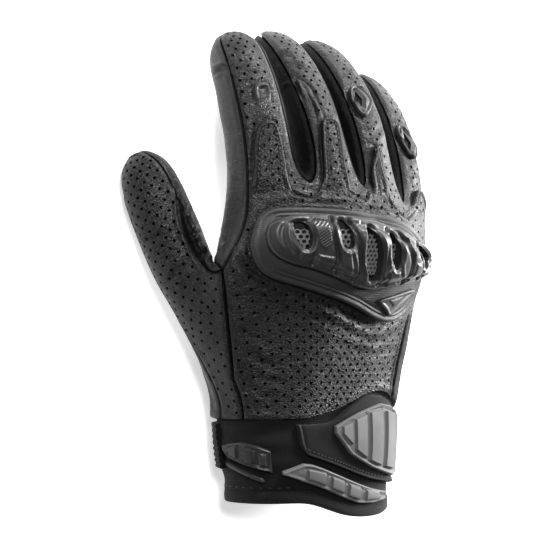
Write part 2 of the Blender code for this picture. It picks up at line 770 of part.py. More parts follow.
def filled(outline, holes, marks, step):
    """Flat points and triangles that fill an outline between its holes, with edges on the marks"""
    loops = [outline, *holes]
    points, edges = [], []
    for loop in [*loops, *marks]:
        first = len(points)
        points += loop
        edges += [(first + k, first + (k + 1) % len(loop)) for k in range(len(loop))]
    low = Vector((min(p.x for p in outline), min(p.y for p in outline)))
    high = Vector((max(p.x for p in outline), max(p.y for p in outline)))
    rise = step * math.sqrt(3) / 2
    for j in range(1, int((high.y - low.y) / rise) + 1):
        for i in range(int((high.x - low.x) / step) + 2):
            point = low + Vector(((i + j % 2 / 2) * step, j * rise))
            within = is_inside(point, outline) and not any(is_inside(point, hole) for hole in holes)
            if within and edge_distance(point, [*loops, *marks]) > 0.45 * step:
                points.append(point)
    verts, _, faces, _, _, _ = delaunay_2d_cdt(points, edges, [], 1, 1e-7)
    kept = []
    for face in faces:
        middle = sum((verts[k] for k in face), Vector((0, 0))) / len(face)
        if not any(is_inside(middle, hole) for hole in holes):
            kept.append(face)
    return verts, kept


def closed_sheet(name, upper, lower, faces):
    """A closed mesh between two layers of points that have the same faces"""
    bm = bmesh.new()
    over = [bm.verts.new(point) for point in upper]
    under = [bm.verts.new(point) for point in lower]
    for face in faces:
        bm.faces.new([over[k] for k in face])
        bm.faces.new([under[k] for k in reversed(face)])
    for edge in [edge for edge in bm.edges if edge.is_boundary and edge.verts[0] in over]:
        a, b = edge.verts
        bm.faces.new([b, a, under[over.index(a)], under[over.index(b)]])
    bmesh.ops.recalc_face_normals(bm, faces=bm.faces)
    mesh = bpy.data.meshes.new(name)
    bm.to_mesh(mesh)
    bm.free()
    return mesh


def laid_sheet(wrap, outline, bottom, top, holes=(), marks=(), step=PATTERN_STEP):
    """A closed sheet laid on a surface; bottom and top give the heights over it"""
    flat, faces = filled(split_loop(outline, step), holes, marks, step)
    over = [wrap.place(point, top(point)) for point in flat]
    under = [wrap.place(point, bottom(point)) for point in flat]
    return closed_sheet("sheet", over, under, faces)


def level(height):
    """A height that is the same all over"""
    return lambda point: height


def with_blocks(height, blocks):
    """A height with bevelled blocks raised on it"""
    def raised(point):
        for block in blocks:
            if is_inside(point, block):
                share = edge_distance(point, [block]) / BLOCK_BEVEL
                return height + BLOCK_RISE * min(1.0, share)
        return height
    return raised


def skin_panel(skin, index):
    """One leather panel: its faces of the skin, drawn in at the seams and given a wall"""
    bm = bmesh.new()
    bm.from_mesh(skin)
    bm.normal_update()
    normal = {vertex.index: vertex.normal.copy() for vertex in bm.verts}
    number = bm.verts.layers.int.new("number")
    for vertex in bm.verts:
        vertex[number] = vertex.index
    others = [face for face in bm.faces if face.material_index != index]
    bmesh.ops.delete(bm, geom=others, context="FACES")
    draw_in = {}
    for edge in bm.edges:
        if not edge.is_boundary:
            continue
        a, b = edge.verts
        face = edge.link_faces[0]
        inward = face.normal.cross(b.co - a.co).normalized()
        if inward.dot(face.calc_center_median() - a.co) < 0:
            inward.negate()
        for vertex in edge.verts:
            draw_in.setdefault(vertex, []).append(inward)
    for vertex, pulls in draw_in.items():
        pull = sum(pulls, Vector()).normalized()
        spread = max(0.5, pull.dot(pulls[0]))
        up = normal[vertex[number]]
        pull -= up * pull.dot(up)
        vertex.co += pull * (SEAM_GAP / 2 / spread)
        vertex.co.z = max(vertex.co.z, 0)
    outer = bm.faces[:]
    walls = bmesh.ops.extrude_face_region(bm, geom=outer, use_keep_orig=True)
    for vertex in [item for item in walls["geom"] if isinstance(item, bmesh.types.BMVert)]:
        vertex.co -= normal[vertex[number]] * LEATHER
    bmesh.ops.recalc_face_normals(bm, faces=bm.faces)
    mesh = bpy.data.meshes.new(PANELS[index])
    bm.to_mesh(mesh)
    bm.free()
    return mesh


def add_skin(skin, collection):
    """The leather panels"""
    looks = dict.fromkeys(PANELS, BLACK_LEATHER)
    looks["index_side_panel"] = GREY_LEATHER
    for index, panel in enumerate(PANELS):
        add_object(panel, skin_panel(skin, index), looks[panel], collection)


def add_finger_overlays(surface, collection):
    """Tongues, flex panels and small guards on the backs of the fingers"""
    for spec in TONGUES + FLEX_PANELS:
        wrap = FingerWrap(surface, FINGERS[spec["finger"]])
        outline = side_loop(wrap, spec["rows"])
        mesh = laid_sheet(wrap, outline, level(LAY_GAP), level(LAY_GAP + OVERLAY))
        add_object(spec["name"], mesh, BLACK_LEATHER, collection)
    for spec in FINGER_GUARDS:
        wrap = FingerWrap(surface, FINGERS[spec["finger"]])
        outline = side_loop(wrap, spec["rows"])
        hole = side_loop(wrap, spec["hole"], 1)
        mesh = laid_sheet(wrap, outline, level(LAY_GAP), level(LAY_GAP + FINGER_GUARD_THICK), [hole])
        add_object(spec["name"], mesh, BLACK_RUBBER, collection)


def add_knuckle_guard(surface, collection):
    """The flange, the mesh over it, the slotted shell and the badge"""
    wrap = HandWrap(surface, PALM_LENGTH)
    base_top = LAY_GAP + BASE_THICK
    seat = base_top + LAY_GAP
    mesh = laid_sheet(wrap, band_loop(wrap, KNUCKLE_BASE), level(LAY_GAP), level(base_top))
    add_object("knuckle_base", mesh, BLACK_RUBBER, collection)

    outline = band_loop(wrap, KNUCKLE_GUARD)
    slots = [side_loop(wrap, slot, 1) for slot in GUARD_SLOTS]

    def underside(point):
        inner = edge_distance(point, [outline])
        return seat + (MESH_THICK + LAY_GAP) * min(1.0, inner / GUARD_SEAT)

    def shell_top(point):
        inner = edge_distance(point, [outline])
        return seat + GUARD_THICK + GUARD_CROWN * smooth(inner / GUARD_RIM)

    mesh = laid_sheet(wrap, outline, underside, shell_top, slots, step=PATTERN_STEP * 0.8)
    add_object("knuckle_guard", mesh, BLACK_GLOSS, collection)

    rows = [dict(at=row["at"], low=row["low"] + MESH_INSET, high=row["high"] - MESH_INSET)
            for row in KNUCKLE_GUARD[2:-2]]
    mesh = laid_sheet(wrap, band_loop(wrap, rows, 1), level(seat), level(seat + MESH_THICK))
    add_object("guard_mesh", mesh, BLACK_RUBBER, collection)

    mesh = laid_sheet(wrap, band_loop(wrap, GUARD_BADGE), level(seat), level(seat + BADGE_THICK))
    add_object("guard_badge", mesh, BLACK_RUBBER, collection)


def lower_loop(mesh):
    """Points of the mesh's lower open edge, in order round the hand"""
    bm = bmesh.new()
    bm.from_mesh(mesh)
    middle = sum(vertex.co.y for vertex in bm.verts) / len(bm.verts)
    rim = [vertex.co.copy() for vertex in bm.verts if vertex.is_boundary and vertex.co.y < middle]
    bm.free()
    return sorted(rim, key=lambda point: wrap_angle(point.x, point.z))


def add_cuff(form, collection):
    """The cuff's wall and the binding under its lower edge"""
    cuff = add_object("cuff", form, BLACK_CLOTH, collection)
    wall = cuff.modifiers.new("wall", "SOLIDIFY")
    wall.thickness = CUFF_WALL
    wall.offset = -1

    rim = lower_loop(form)
    centre = sum(rim, Vector()) / len(rim)
    outside = (BINDING_WALL - CUFF_WALL) / 2
    bm = bmesh.new()
    corners = []
    for k, point in enumerate(rim):
        run = rim[(k + 1) % len(rim)] - rim[k - 1]
        out = Vector((run.z, 0, -run.x)).normalized()
        if out.dot(point - centre) < 0:
            out.negate()
        upper, lower = Vector((0, -LAY_GAP, 0)), Vector((0, -LAY_GAP - BINDING_HEIGHT, 0))
        outer, inner = out * outside, out * (outside - BINDING_WALL)
        corners.append([bm.verts.new(point + side + end) for side, end in
                        ((outer, upper), (outer, lower), (inner, lower), (inner, upper))])
    for a, b in zip(corners, corners[1:] + corners[:1]):
        for k in range(4):
            turn = (k + 1) % 4
            bm.faces.new([a[k], b[k], b[turn], a[turn]])
    bmesh.ops.recalc_face_normals(bm, faces=bm.faces)
    mesh = bpy.data.meshes.new("cuff_binding")
    bm.to_mesh(mesh)
    bm.free()
    add_object("cuff_binding", mesh, BLACK_CLOTH, collection)


def strap_loop(wrap):
    """Outline of the wrist strap, whose upper edge follows the leather's hem"""
    low = [wrap.flat(row["at"], row["low"]) for row in WRIST_STRAP]
    high = []
    for row in WRIST_STRAP[::-1]:
        angle = math.radians(row["at"])
        hem = hem_height(AXIS_X + math.sin(angle), AXIS_Z + math.cos(angle))
        high.append(Vector((angle * WRAP_RADIUS, hem - 3 * LAY_GAP)))
    return rounded_loop(low + high, 1)


def add_blocked_plate(name, wrap, rows, block_rows, bottom, thickness, look, collection):
    """A moulded plate with bevelled blocks on it"""
    blocks = [band_loop(wrap, block, 1) for block in block_rows]
    marks = blocks + [inset_loop(block, BLOCK_BEVEL) for block in blocks]
    top = with_blocks(bottom + thickness, blocks)
    mesh = laid_sheet(wrap, band_loop(wrap, rows, 1), level(bottom), top, marks=marks)
    add_object(name, mesh, look, collection)


def add_gather(wrap, collection):
    """The elastic gathers on the thumb side of the wrist: ribs that run round the hand"""
    rows, columns = 2 * GATHER["ribs"] + 1, GATHER["columns"]
    over, under, faces = [], [], []
    for j in range(rows):
        share = GATHER["high"] + (GATHER["low"] - GATHER["high"]) * j / (rows - 1)
        rise = GATHER_RISE if j % 2 else 0
        for k in range(columns):
            turn = GATHER["left"] + (GATHER["right"] - GATHER["left"]) * k / (columns - 1)
            flat = wrap.flat(turn, share)
            over.append(wrap.place(flat, LAY_GAP + GATHER_THICK + rise))
            under.append(wrap.place(flat, LAY_GAP))
            if j and k:
                last = j * columns + k
                faces.append([last - columns - 1, last - columns, last, last - 1])
    mesh = closed_sheet("wrist_gather", over, under, faces)
    add_object("wrist_gather", mesh, BLACK_CLOTH, collection)


def add_cuff_patterns(surface, collection):
    """The wrist strap with its pad, the lower bar, the patch with its strip and the gathers"""
    wrap = HandWrap(surface, -CUFF_LENGTH)
    strap_top = LAY_GAP + STRAP_THICK
    mesh = laid_sheet(wrap, strap_loop(wrap), level(LAY_GAP), level(strap_top), step=1.3 * PATTERN_STEP)
    add_object("wrist_strap", mesh, BLACK_CLOTH, collection)
    add_blocked_plate("strap_pad", wrap, STRAP_PAD, PAD_BLOCKS, strap_top + LAY_GAP, PAD_THICK,
                      GREY_RUBBER, collection)
    add_blocked_plate("cuff_bar", wrap, CUFF_BAR, BAR_BLOCKS, LAY_GAP, BAR_THICK, GREY_RUBBER, collection)
    add_blocked_plate("cuff_patch", wrap, CUFF_PATCH, PATCH_BLOCKS, LAY_GAP, BAR_THICK, BLACK_RUBBER, collection)
    mesh = laid_sheet(wrap, band_loop(wrap, PATCH_STRIP), level(LAY_GAP), level(LAY_GAP + BAR_THICK))
    add_object("patch_strip", mesh, BLACK_RUBBER, collection)
    add_gather(wrap, collection)


def centre_on_origin(collection):
    """Puts the origin on the ground under the middle of the glove"""
    depsgraph = bpy.context.evaluated_depsgraph_get()
    corners = []
    for piece in collection.objects:
        evaluated = piece.evaluated_get(depsgraph)
        corners += [Vector(corner) for corner in evaluated.bound_box]
    middle = [(min(c[k] for c in corners) + max(c[k] for c in corners)) / 2 for k in (0, 1)]
    for piece in collection.objects:
        piece.location = (-middle[0], -middle[1], 0)


def start_scene():
    """An empty scene with one collection for the glove and one for its guides"""
    for item in list(bpy.data.objects):
        bpy.data.objects.remove(item)
    glove = bpy.data.collections.new("motorcycle_glove")
    guides = bpy.data.collections.new("guides")
    bpy.context.scene.collection.children.link(glove)
    bpy.context.scene.collection.children.link(guides)
    return glove, guides


def main():
    glove, guides = start_scene()
    skin = subdivided(skin_cage(), "skin_form", guides, 1)
    add_skin(skin, glove)
    surface = Surface(skin)
    add_finger_overlays(surface, glove)
    add_knuckle_guard(surface, glove)
    form = subdivided(cuff_cage(), "cuff_form", guides, 1)
    add_cuff(form, glove)
    add_cuff_patterns(Surface(form), glove)
    centre_on_origin(glove)


main()
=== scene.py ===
"""Looks of the leather motorcycle glove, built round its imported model.

The skin, the cuff and the patterns laid on them come from the same sizes and tables as the solids,
in the glove's own frame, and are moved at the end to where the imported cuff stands. Each piece then
gets its relief: seams, creases, holes, ribs, blocks, mesh and stitches.
"""
import json
import math

import bmesh
import bpy
import numpy as np
from mathutils import Matrix, Vector, noise
from mathutils.bvhtree import BVHTree
from mathutils.geometry import delaunay_2d_cdt
from mathutils.interpolate import poly_3d_calc
from mathutils.kdtree import KDTree

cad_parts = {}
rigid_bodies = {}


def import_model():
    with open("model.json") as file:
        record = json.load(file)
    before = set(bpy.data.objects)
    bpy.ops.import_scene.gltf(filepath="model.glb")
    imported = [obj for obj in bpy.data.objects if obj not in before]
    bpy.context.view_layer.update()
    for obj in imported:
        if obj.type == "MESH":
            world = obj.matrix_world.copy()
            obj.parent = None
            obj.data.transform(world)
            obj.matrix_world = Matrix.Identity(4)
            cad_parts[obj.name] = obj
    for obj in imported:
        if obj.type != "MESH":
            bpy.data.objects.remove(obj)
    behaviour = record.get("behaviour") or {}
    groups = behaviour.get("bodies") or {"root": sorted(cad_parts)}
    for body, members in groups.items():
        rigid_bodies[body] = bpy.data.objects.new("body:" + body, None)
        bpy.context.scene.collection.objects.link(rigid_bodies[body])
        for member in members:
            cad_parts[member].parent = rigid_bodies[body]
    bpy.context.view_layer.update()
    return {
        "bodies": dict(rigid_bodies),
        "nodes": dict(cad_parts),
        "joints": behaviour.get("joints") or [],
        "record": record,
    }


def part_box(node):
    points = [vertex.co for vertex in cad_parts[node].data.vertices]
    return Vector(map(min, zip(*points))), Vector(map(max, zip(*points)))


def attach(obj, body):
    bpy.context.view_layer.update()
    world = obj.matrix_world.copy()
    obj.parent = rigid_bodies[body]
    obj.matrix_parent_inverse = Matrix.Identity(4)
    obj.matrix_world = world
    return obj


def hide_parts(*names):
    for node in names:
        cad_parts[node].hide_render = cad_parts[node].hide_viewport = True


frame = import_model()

MM = 0.001

# Walls and clearances
LEATHER = 1.6 * MM
LAY_GAP = 0.65 * MM
CUFF_WALL = 2.2 * MM
OVERLAY = 1.2 * MM

# The hand
PALM_LENGTH = 99 * MM
WRIST_WIDTH = 94 * MM
WRIST_HEIGHT = 54 * MM
WRIST_LIFT = 26.1 * MM
WRIST_SHIFT = 2.2 * MM
ROOT_LIFT = 52 * MM
FINGER_PITCH = 24.5 * MM
FINGER_LENGTH = 80 * MM
FINGER_WIDTH = 25 * MM
FINGER_HEIGHT = 23.5 * MM
THUMB_LENGTH = 91 * MM
THUMB_WIDTH = 25.8 * MM
THUMB_HEIGHT = 24.5 * MM
# Subdivision pulls a round cage in by this share
CAGE_FIT = 0.902

# The cuff
HEM_DROP = 6 * MM
HEM_RISE = 12 * MM
CUFF_LENGTH = 38.6 * MM
CUFF_DIP = 8 * MM
BINDING_HEIGHT = 4 * MM
BINDING_WALL = 3 * MM
STRAP_THICK = 1.6 * MM
PAD_THICK = 1.3 * MM
BLOCK_RISE = 1.3 * MM
BAR_THICK = 1.6 * MM
GATHER_THICK = 1.2 * MM
GATHER_RISE = 1.6 * MM

# The knuckle guard
BASE_THICK = 1.8 * MM
MESH_THICK = 0.8 * MM
GUARD_THICK = 1.8 * MM
GUARD_CROWN = 4.2 * MM
GUARD_RIM = 7 * MM
BADGE_THICK = 1.2 * MM
BADGE_CORE = 0.42
FINGER_GUARD_THICK = 1.8 * MM

# Flat patterns are laid round this line, which runs along Y through the hand
AXIS_X = 4 * MM
AXIS_Z = 30 * MM
WRAP_RADIUS = 36 * MM
FAR = 200 * MM


def table(columns, *rows):
    """Rows of a table as dicts, by the names of its columns"""
    return [dict(zip(columns.split(), row)) for row in rows]


# Fingers. across, along, lift: the root's centre as shares of FINGER_PITCH, PALM_LENGTH and
# ROOT_LIFT. length, girth: shares of FINGER_LENGTH and of the finger's section. full: how much wider
# the root is toward the little finger. Angles in degrees.
FINGERS = table(
    "name across along lift length girth full roll yaw bends",
    ("index", -1.42, 0.97, 0.85, 0.965, 1.08, 0.13, -10, -4, (-3, -16, -36)),
    ("middle", -0.10, 0.97, 1.00, 1.14, 0.96, 0, 0, -4.5, (-16, -36, -53)),
    ("ring", 0.92, 0.925, 0.97, 1.18, 0.93, 0, 8, -4, (-13, -37, -57)),
    ("little", 1.92, 0.84, 0.78, 1.062, 0.88, 0, 20, 2.5, (-14, -34, -53)))
# Sections along a finger, as shares of its length, width and height
FINGER_SECTIONS = table(
    "at wide high", (0.00, 1.02, 1.02), (0.17, 0.92, 0.99), (0.36, 0.94, 0.99), (0.54, 0.96, 0.95),
    (0.73, 0.92, 0.89), (0.90, 0.77, 0.71))
TIP_AT = 1.04
MIDDLE_JOINT, END_JOINT, BEND_SPAN = 0.42, 0.70, 0.20
# One finger section: across and up, from the back's thumb-side corner round to the thumb side
SECTION = ((-0.80, 0.74), (0, 1.0), (0.80, 0.74), (1.0, 0),
           (0.78, -0.86), (0, -1.08), (-0.78, -0.86), (-1.0, 0))

# The thumb. root: shares of WRIST_WIDTH, PALM_LENGTH and ROOT_LIFT. Angles in degrees.
THUMB = dict(root=(-0.474, 0.333, 0.500), yaw=-18.8, base_yaw=-14, facing=-34, roll=-36,
             pitch=(-8, -11.5, -12.5))
THUMB_SECTIONS = table(
    "at wide high", (0.33, 1.01, 1.04), (0.45, 1.04, 1.04), (0.59, 1.05, 1.00), (0.75, 1.00, 0.93),
    (0.91, 0.83, 0.77))

# Rows from the wrist to the finger roots. at: share of the way. back, palm: swelling as shares of
# ROOT_LIFT. corner, side: how far the thumb-side seam and edge stand out, as shares of WRIST_WIDTH.
PALM_ROWS = table(
    "at back palm corner side", (0.00, 0.00, 0.00, 0.000, 0.000), (0.12, 0.00, 0.135, 0.010, 0.000),
    (0.38, 0.05, 0.150, 0.095, 0.025), (0.67, 0.14, 0.00, 0.200, 0.055),
    (0.80, 0.20, -0.05, 0.070, 0.030), (0.91, 0.10, -0.03, 0.010, 0.010))
THUMB_ROWS = (1, 2)
# How far the web between two fingers runs on past their roots, as a share of FINGER_LENGTH
WEB = 0.07
# The wrist's cage: points over the back or the palm, all points round it, and in degrees where the
# back's corners stand off its sides
ACROSS, AROUND = 9, 20
THUMB_CORNER, LITTLE_CORNER = 27, 21
WRIST_ROUNDING = 0.85
# Where the hem and the cuff's edge swell: from, over, until and over how many degrees round the hand
HEM_HUMP = (-25, 65, 50, 45)
CUFF_HUMP = (-35, 60, 55, 60)
# Sections of the cuff. at: share of the way from the leather's hem to the lower edge. wide, high:
# shares of the room inside the leather. shift, lift: shares of WRIST_WIDTH and WRIST_HEIGHT.
CUFF_ROWS = table(
    "at wide high shift lift", (-0.15, 1.000, 1.000, 0.000, 0.014), (0.05, 1.000, 1.000, 0.000, 0.000),
    (0.45, 0.960, 1.000, -0.008, 0.030), (1.00, 0.920, 0.900, 0.012, 0.010))

PANELS = ("back_panel", "palm_panel", "index_side_panel", "little_side_panel",
          "fourchette_index_middle", "fourchette_middle_ring", "fourchette_ring_little",
          "thumb_back_panel", "thumb_palm_panel", "thumb_gusset")
BACK = PANELS.index("back_panel")
FOURCHETTES = range(4, 7)

# Patterns laid on the fingers. at: share of the finger's length from its root. left, right: degrees
# round the finger from its back line.
TONGUES = (
    dict(name="index_tongue", finger=0, rows=table(
        "at left right", (-0.075, -40, 42), (-0.03, -40, 36), (0.03, -39, 31), (0.12, -32, 29),
        (0.22, -29, 28), (0.33, -21, 23), (0.37, -8, 15))),
    dict(name="middle_tongue", finger=1, rows=table(
        "at left right", (-0.075, -60, 22), (-0.02, -54, 15), (0.03, -45, 12), (0.10, -38, 13),
        (0.20, -31, 18), (0.29, -23, 22), (0.33, -14, 10))),
    dict(name="ring_tongue", finger=2, rows=table(
        "at left right", (-0.04, -42, 0), (0.04, -40, -5), (0.13, -36, -8), (0.20, -20, -8),
        (0.24, -14, -9))),
    dict(name="little_tongue", finger=3, rows=table(
        "at left right", (-0.03, -46, 30), (0.05, -34, 30), (0.11, -20, 24), (0.14, -10, 12))),
)
FLEX_PANELS = (
    dict(name="index_flex_panel", finger=0, rows=table(
        "at left right", (0.40, -14, 22), (0.47, -15, 24), (0.54, -12, 25), (0.57, -2, 18))),
    dict(name="middle_flex_panel", finger=1, rows=table(
        "at left right", (0.36, -36, -10), (0.40, -42, -9), (0.44, -43, -12), (0.49, -43, -22),
        (0.53, -42, -36))),
)
FINGER_GUARDS = (
    dict(name="ring_finger_guard", finger=2, rows=table(
        "at left right", (0.385, -28, -15), (0.405, -37, 2), (0.440, -42, 20), (0.475, -42, 18),
        (0.505, -35, 6), (0.525, -22, -8)), hole=table(
        "at left right", (0.425, -22, -20), (0.455, -32, -12), (0.490, -24, -22))),
    dict(name="little_finger_guard", finger=3, rows=table(
        "at left right", (0.325, -6, 8), (0.345, -18, 20), (0.390, -33, 28), (0.430, -41, 14),
        (0.465, -39, -6), (0.485, -31, -20)), hole=table(
        "at left right", (0.360, -12, -10), (0.400, -24, 1), (0.445, -20, -18))),
)

# Patterns laid across the back of the hand. at: degrees round the hand from its top.
# low, high: distance from the wrist as shares of PALM_LENGTH.
KNUCKLE_BASE = table(
    "at low high", (-64, 0.70, 0.75), (-62, 0.62, 0.84), (-57, 0.575, 0.880), (-48, 0.548, 0.888),
    (-34, 0.517, 0.886), (-16, 0.480, 0.878), (2, 0.444, 0.867), (20, 0.401, 0.851), (35, 0.380, 0.828),
    (48, 0.388, 0.793), (59, 0.435, 0.730), (64, 0.510, 0.650))
KNUCKLE_GUARD = table(
    "at low high", (-58.5, 0.735, 0.79), (-56, 0.685, 0.826), (-49, 0.648, 0.848), (-36, 0.622, 0.852),
    (-20, 0.583, 0.848), (-7, 0.550, 0.838), (8, 0.533, 0.820), (24, 0.545, 0.792), (40, 0.557, 0.756),
    (53, 0.573, 0.729), (60, 0.595, 0.698), (63, 0.625, 0.665))
# How far the mesh under the guard stays inside its edges, as a share of PALM_LENGTH
MESH_INSET = 0.06
# Slots through the guard. at: distance from the wrist as a share of PALM_LENGTH.
# left, right: degrees round the hand.
GUARD_SLOTS = [table("at left right", *rows) for rows in (
    ((0.722, -44, -40.5), (0.765, -48, -39), (0.815, -48, -42.5)),
    ((0.728, -19, -14), (0.780, -21.5, -14), (0.822, -22, -18)),
    ((0.590, 0.5, 9.5), (0.670, -5, 10), (0.750, -6, 6), (0.795, -5, -1.5)),
    ((0.645, 20, 23.5), (0.715, 15.5, 23), (0.772, 14.5, 18.5)),
    ((0.640, 51, 54), (0.680, 46.5, 58), (0.725, 42.5, 48)))]
GUARD_BADGE = table(
    "at low high", (22, 0.470, 0.487), (30, 0.437, 0.500), (36, 0.410, 0.508), (47, 0.462, 0.523),
    (56, 0.508, 0.532))

# Patterns laid round the cuff. at: degrees round the hand from its top. low, high: distance below
# the wrist as shares of CUFF_LENGTH; a strap row with no high edge ends just under the hem.
WRIST_STRAP = table(
    "at low", (-50, 0.24), (-47, 0.42), (-43, 0.53), (-36, 0.58), (-12, 0.672), (12, 0.755),
    (34, 0.835), (56, 0.905), (78, 0.95), (105, 0.93), (130, 0.90), (146, 0.84), (152, 0.72))
STRAP_PAD = table(
    "at low high", (-13, 0.320, 0.235), (9, 0.560, 0.140), (20, 0.620, 0.095), (40, 0.730, 0.025),
    (50, 0.775, -0.010), (60, 0.820, 0.015), (67, 0.850, 0.075), (71, 0.820, 0.140))
PAD_BLOCKS = [table("at low high", *rows) for rows in (
    ((-4, 0.330, 0.240), (10, 0.455, 0.185)), ((15, 0.510, 0.160), (30, 0.610, 0.105)),
    ((35, 0.640, 0.085), (49, 0.710, 0.055)), ((54, 0.725, 0.075), (64, 0.765, 0.110)))]
CUFF_BAR = table(
    "at low high", (-60, 0.775, 0.735), (-45, 0.865, 0.650), (-38, 0.895, 0.660), (-12, 1.000, 0.765),
    (10, 1.080, 0.845), (32, 1.150, 0.925), (50, 1.160, 0.990), (66, 1.130, 1.035))
BAR_BLOCKS = [table("at low high", *rows) for rows in (
    ((-42, 0.830, 0.710), (-22, 0.910, 0.765)), ((-14, 0.945, 0.805), (5, 1.015, 0.870)),
    ((13, 1.045, 0.900), (31, 1.105, 0.960)), ((39, 1.115, 0.990), (56, 1.115, 1.040)))]
CUFF_PATCH = table(
    "at low high", (-96, 0.500, 0.440), (-91, 0.590, 0.420), (-82, 0.655, 0.395), (-72, 0.715, 0.445),
    (-65.5, 0.750, 0.500))
PATCH_BLOCKS = [table("at low high", *rows) for rows in (
    ((-90, 0.545, 0.450), (-84, 0.590, 0.430)), ((-80.5, 0.610, 0.445), (-75, 0.645, 0.470)),
    ((-71.5, 0.660, 0.500), (-68, 0.675, 0.530)))]
PATCH_STRIP = table(
    "at low high", (-93, 0.685, 0.630), (-82, 0.775, 0.710), (-71, 0.865, 0.800))
GATHER = dict(left=-140, right=-99, high=0.20, low=0.72, ribs=4)

# How fine the scene's meshes are
SKIN_LEVELS = 4
SHEET_STEP = 1.1 * MM
FINE_STEP = 0.75 * MM
GUARD_STEP = 0.42 * MM

# Seams of the skin
SEAM_RIM = 0.85 * MM
SEAM_LIP = 0.40 * MM
SEAM_SINK = 1.8 * MM
SEAM_ROLL = 0.85 * MM
SEAM_PUFF = 0.35 * MM
PUFF_AT = 2.4 * MM
PUFF_SPAN = 1.3 * MM
# The skin dips along the edges of what lies on it, and is finer there and along deep creases
DITCH_DEPTH = 0.7 * MM
DITCH_SPAN = 1.2 * MM
FINE_REACH = 1.9 * MM
DEEP_CREASE = 0.85
# Soft unevenness of the skin, in repeats a metre
SKIN_WAVES = table("size scale seed", (0.26 * MM, 75, 1), (0.12 * MM, 230, 2))
# The lower ends of the tongues sink into the skin over this length; the flex panels' rims are as long
FADE = 11 * MM
FLEX_RIM = 9 * MM

# Perforation: a staggered grid of round holes
HOLE_RADIUS = 0.72 * MM
HOLE_PITCH = 6.0 * MM
HOLE_ROW = 2.6 * MM
HOLE_SIDES = 7
HOLE_REACH = 3.5 * MM
SEAM_MARGIN = 2.3 * MM
STRIP_MARGIN = 4.7 * MM
SHEET_MARGIN = 1.9 * MM
SEAM_CLEARANCE = 1.8 * MM

# Where holes may lie. on: a finger's number, the thumb or the hand. left, right: degrees round it. low,
# high: shares of its length.
HOLE_FIELDS = table(
    "on panel left right low high",
    *((finger, "back_panel", -75, 75, 0.03, 1.02) for finger in range(len(FINGERS))),
    ("thumb", "thumb_back_panel", -125, 95, 0.10, 1.0),
    ("hand", "back_panel", -75, 90, -0.05, 1.02),
    ("hand", "thumb_back_panel", -125, -50, -0.05, 0.75))

# The leather is painted black as shade this far round the middle of a finger guard's opening
WELL_REACH = 3.2 * MM

# Honeycomb under the guard
CELL_PITCH = 2.15 * MM
CELL_HOLE = 0.8 * MM

# How far the binding reaches up over the cuff's lower edge
BINDING_LAP = 1.4 * MM
BINDING_STAND = 0.5 * MM
# How square its section is, across and along: powers of a circle's coordinates
BINDING_SQUARE = (0.6, 0.5)
# A stitch's arch: shares of its length with heights in millimetres
STITCH_ARCH = ((0, -0.25), (0.2, 0.05), (0.5, 0.12), (0.8, 0.05), (1, -0.25))

# The seam of the thumb's smooth gusset, in millimetres across and up from the middle of the view
THUMB_SEAM = ((-44.1, 40.5), (-42.8, 27.0), (-39.2, 15.8), (-34.7, 6.8), (-28.8, 0.5), (-24.3, 0.2))

# The seam down the little finger's side of the hand, in the same measure
SIDE_SEAM = ((60.0, -17.5), (57.6, -26.8), (55.0, -37.7), (53.3, -47.0), (51.6, -58.3), (49.6, -72.0))

# Smooth parts of the fingers without holes, as loops in the same measure
SMOOTH_ZONES = (
    ((2.7, 85.0), (6.8, 86.4), (11.3, 85.9), (15.3, 82.8), (18.0, 77.4), (20.7, 70.7), (22.0, 66.2),
     (19.4, 64.4), (13.5, 69.8), (7.7, 77.4), (3.6, 82.4)),
    ((-12.6, 86.0), (-3.6, 88.7), (-2.3, 78.8), (-1.4, 70.7), (-5.9, 68.9), (-11.3, 70.7)),
)

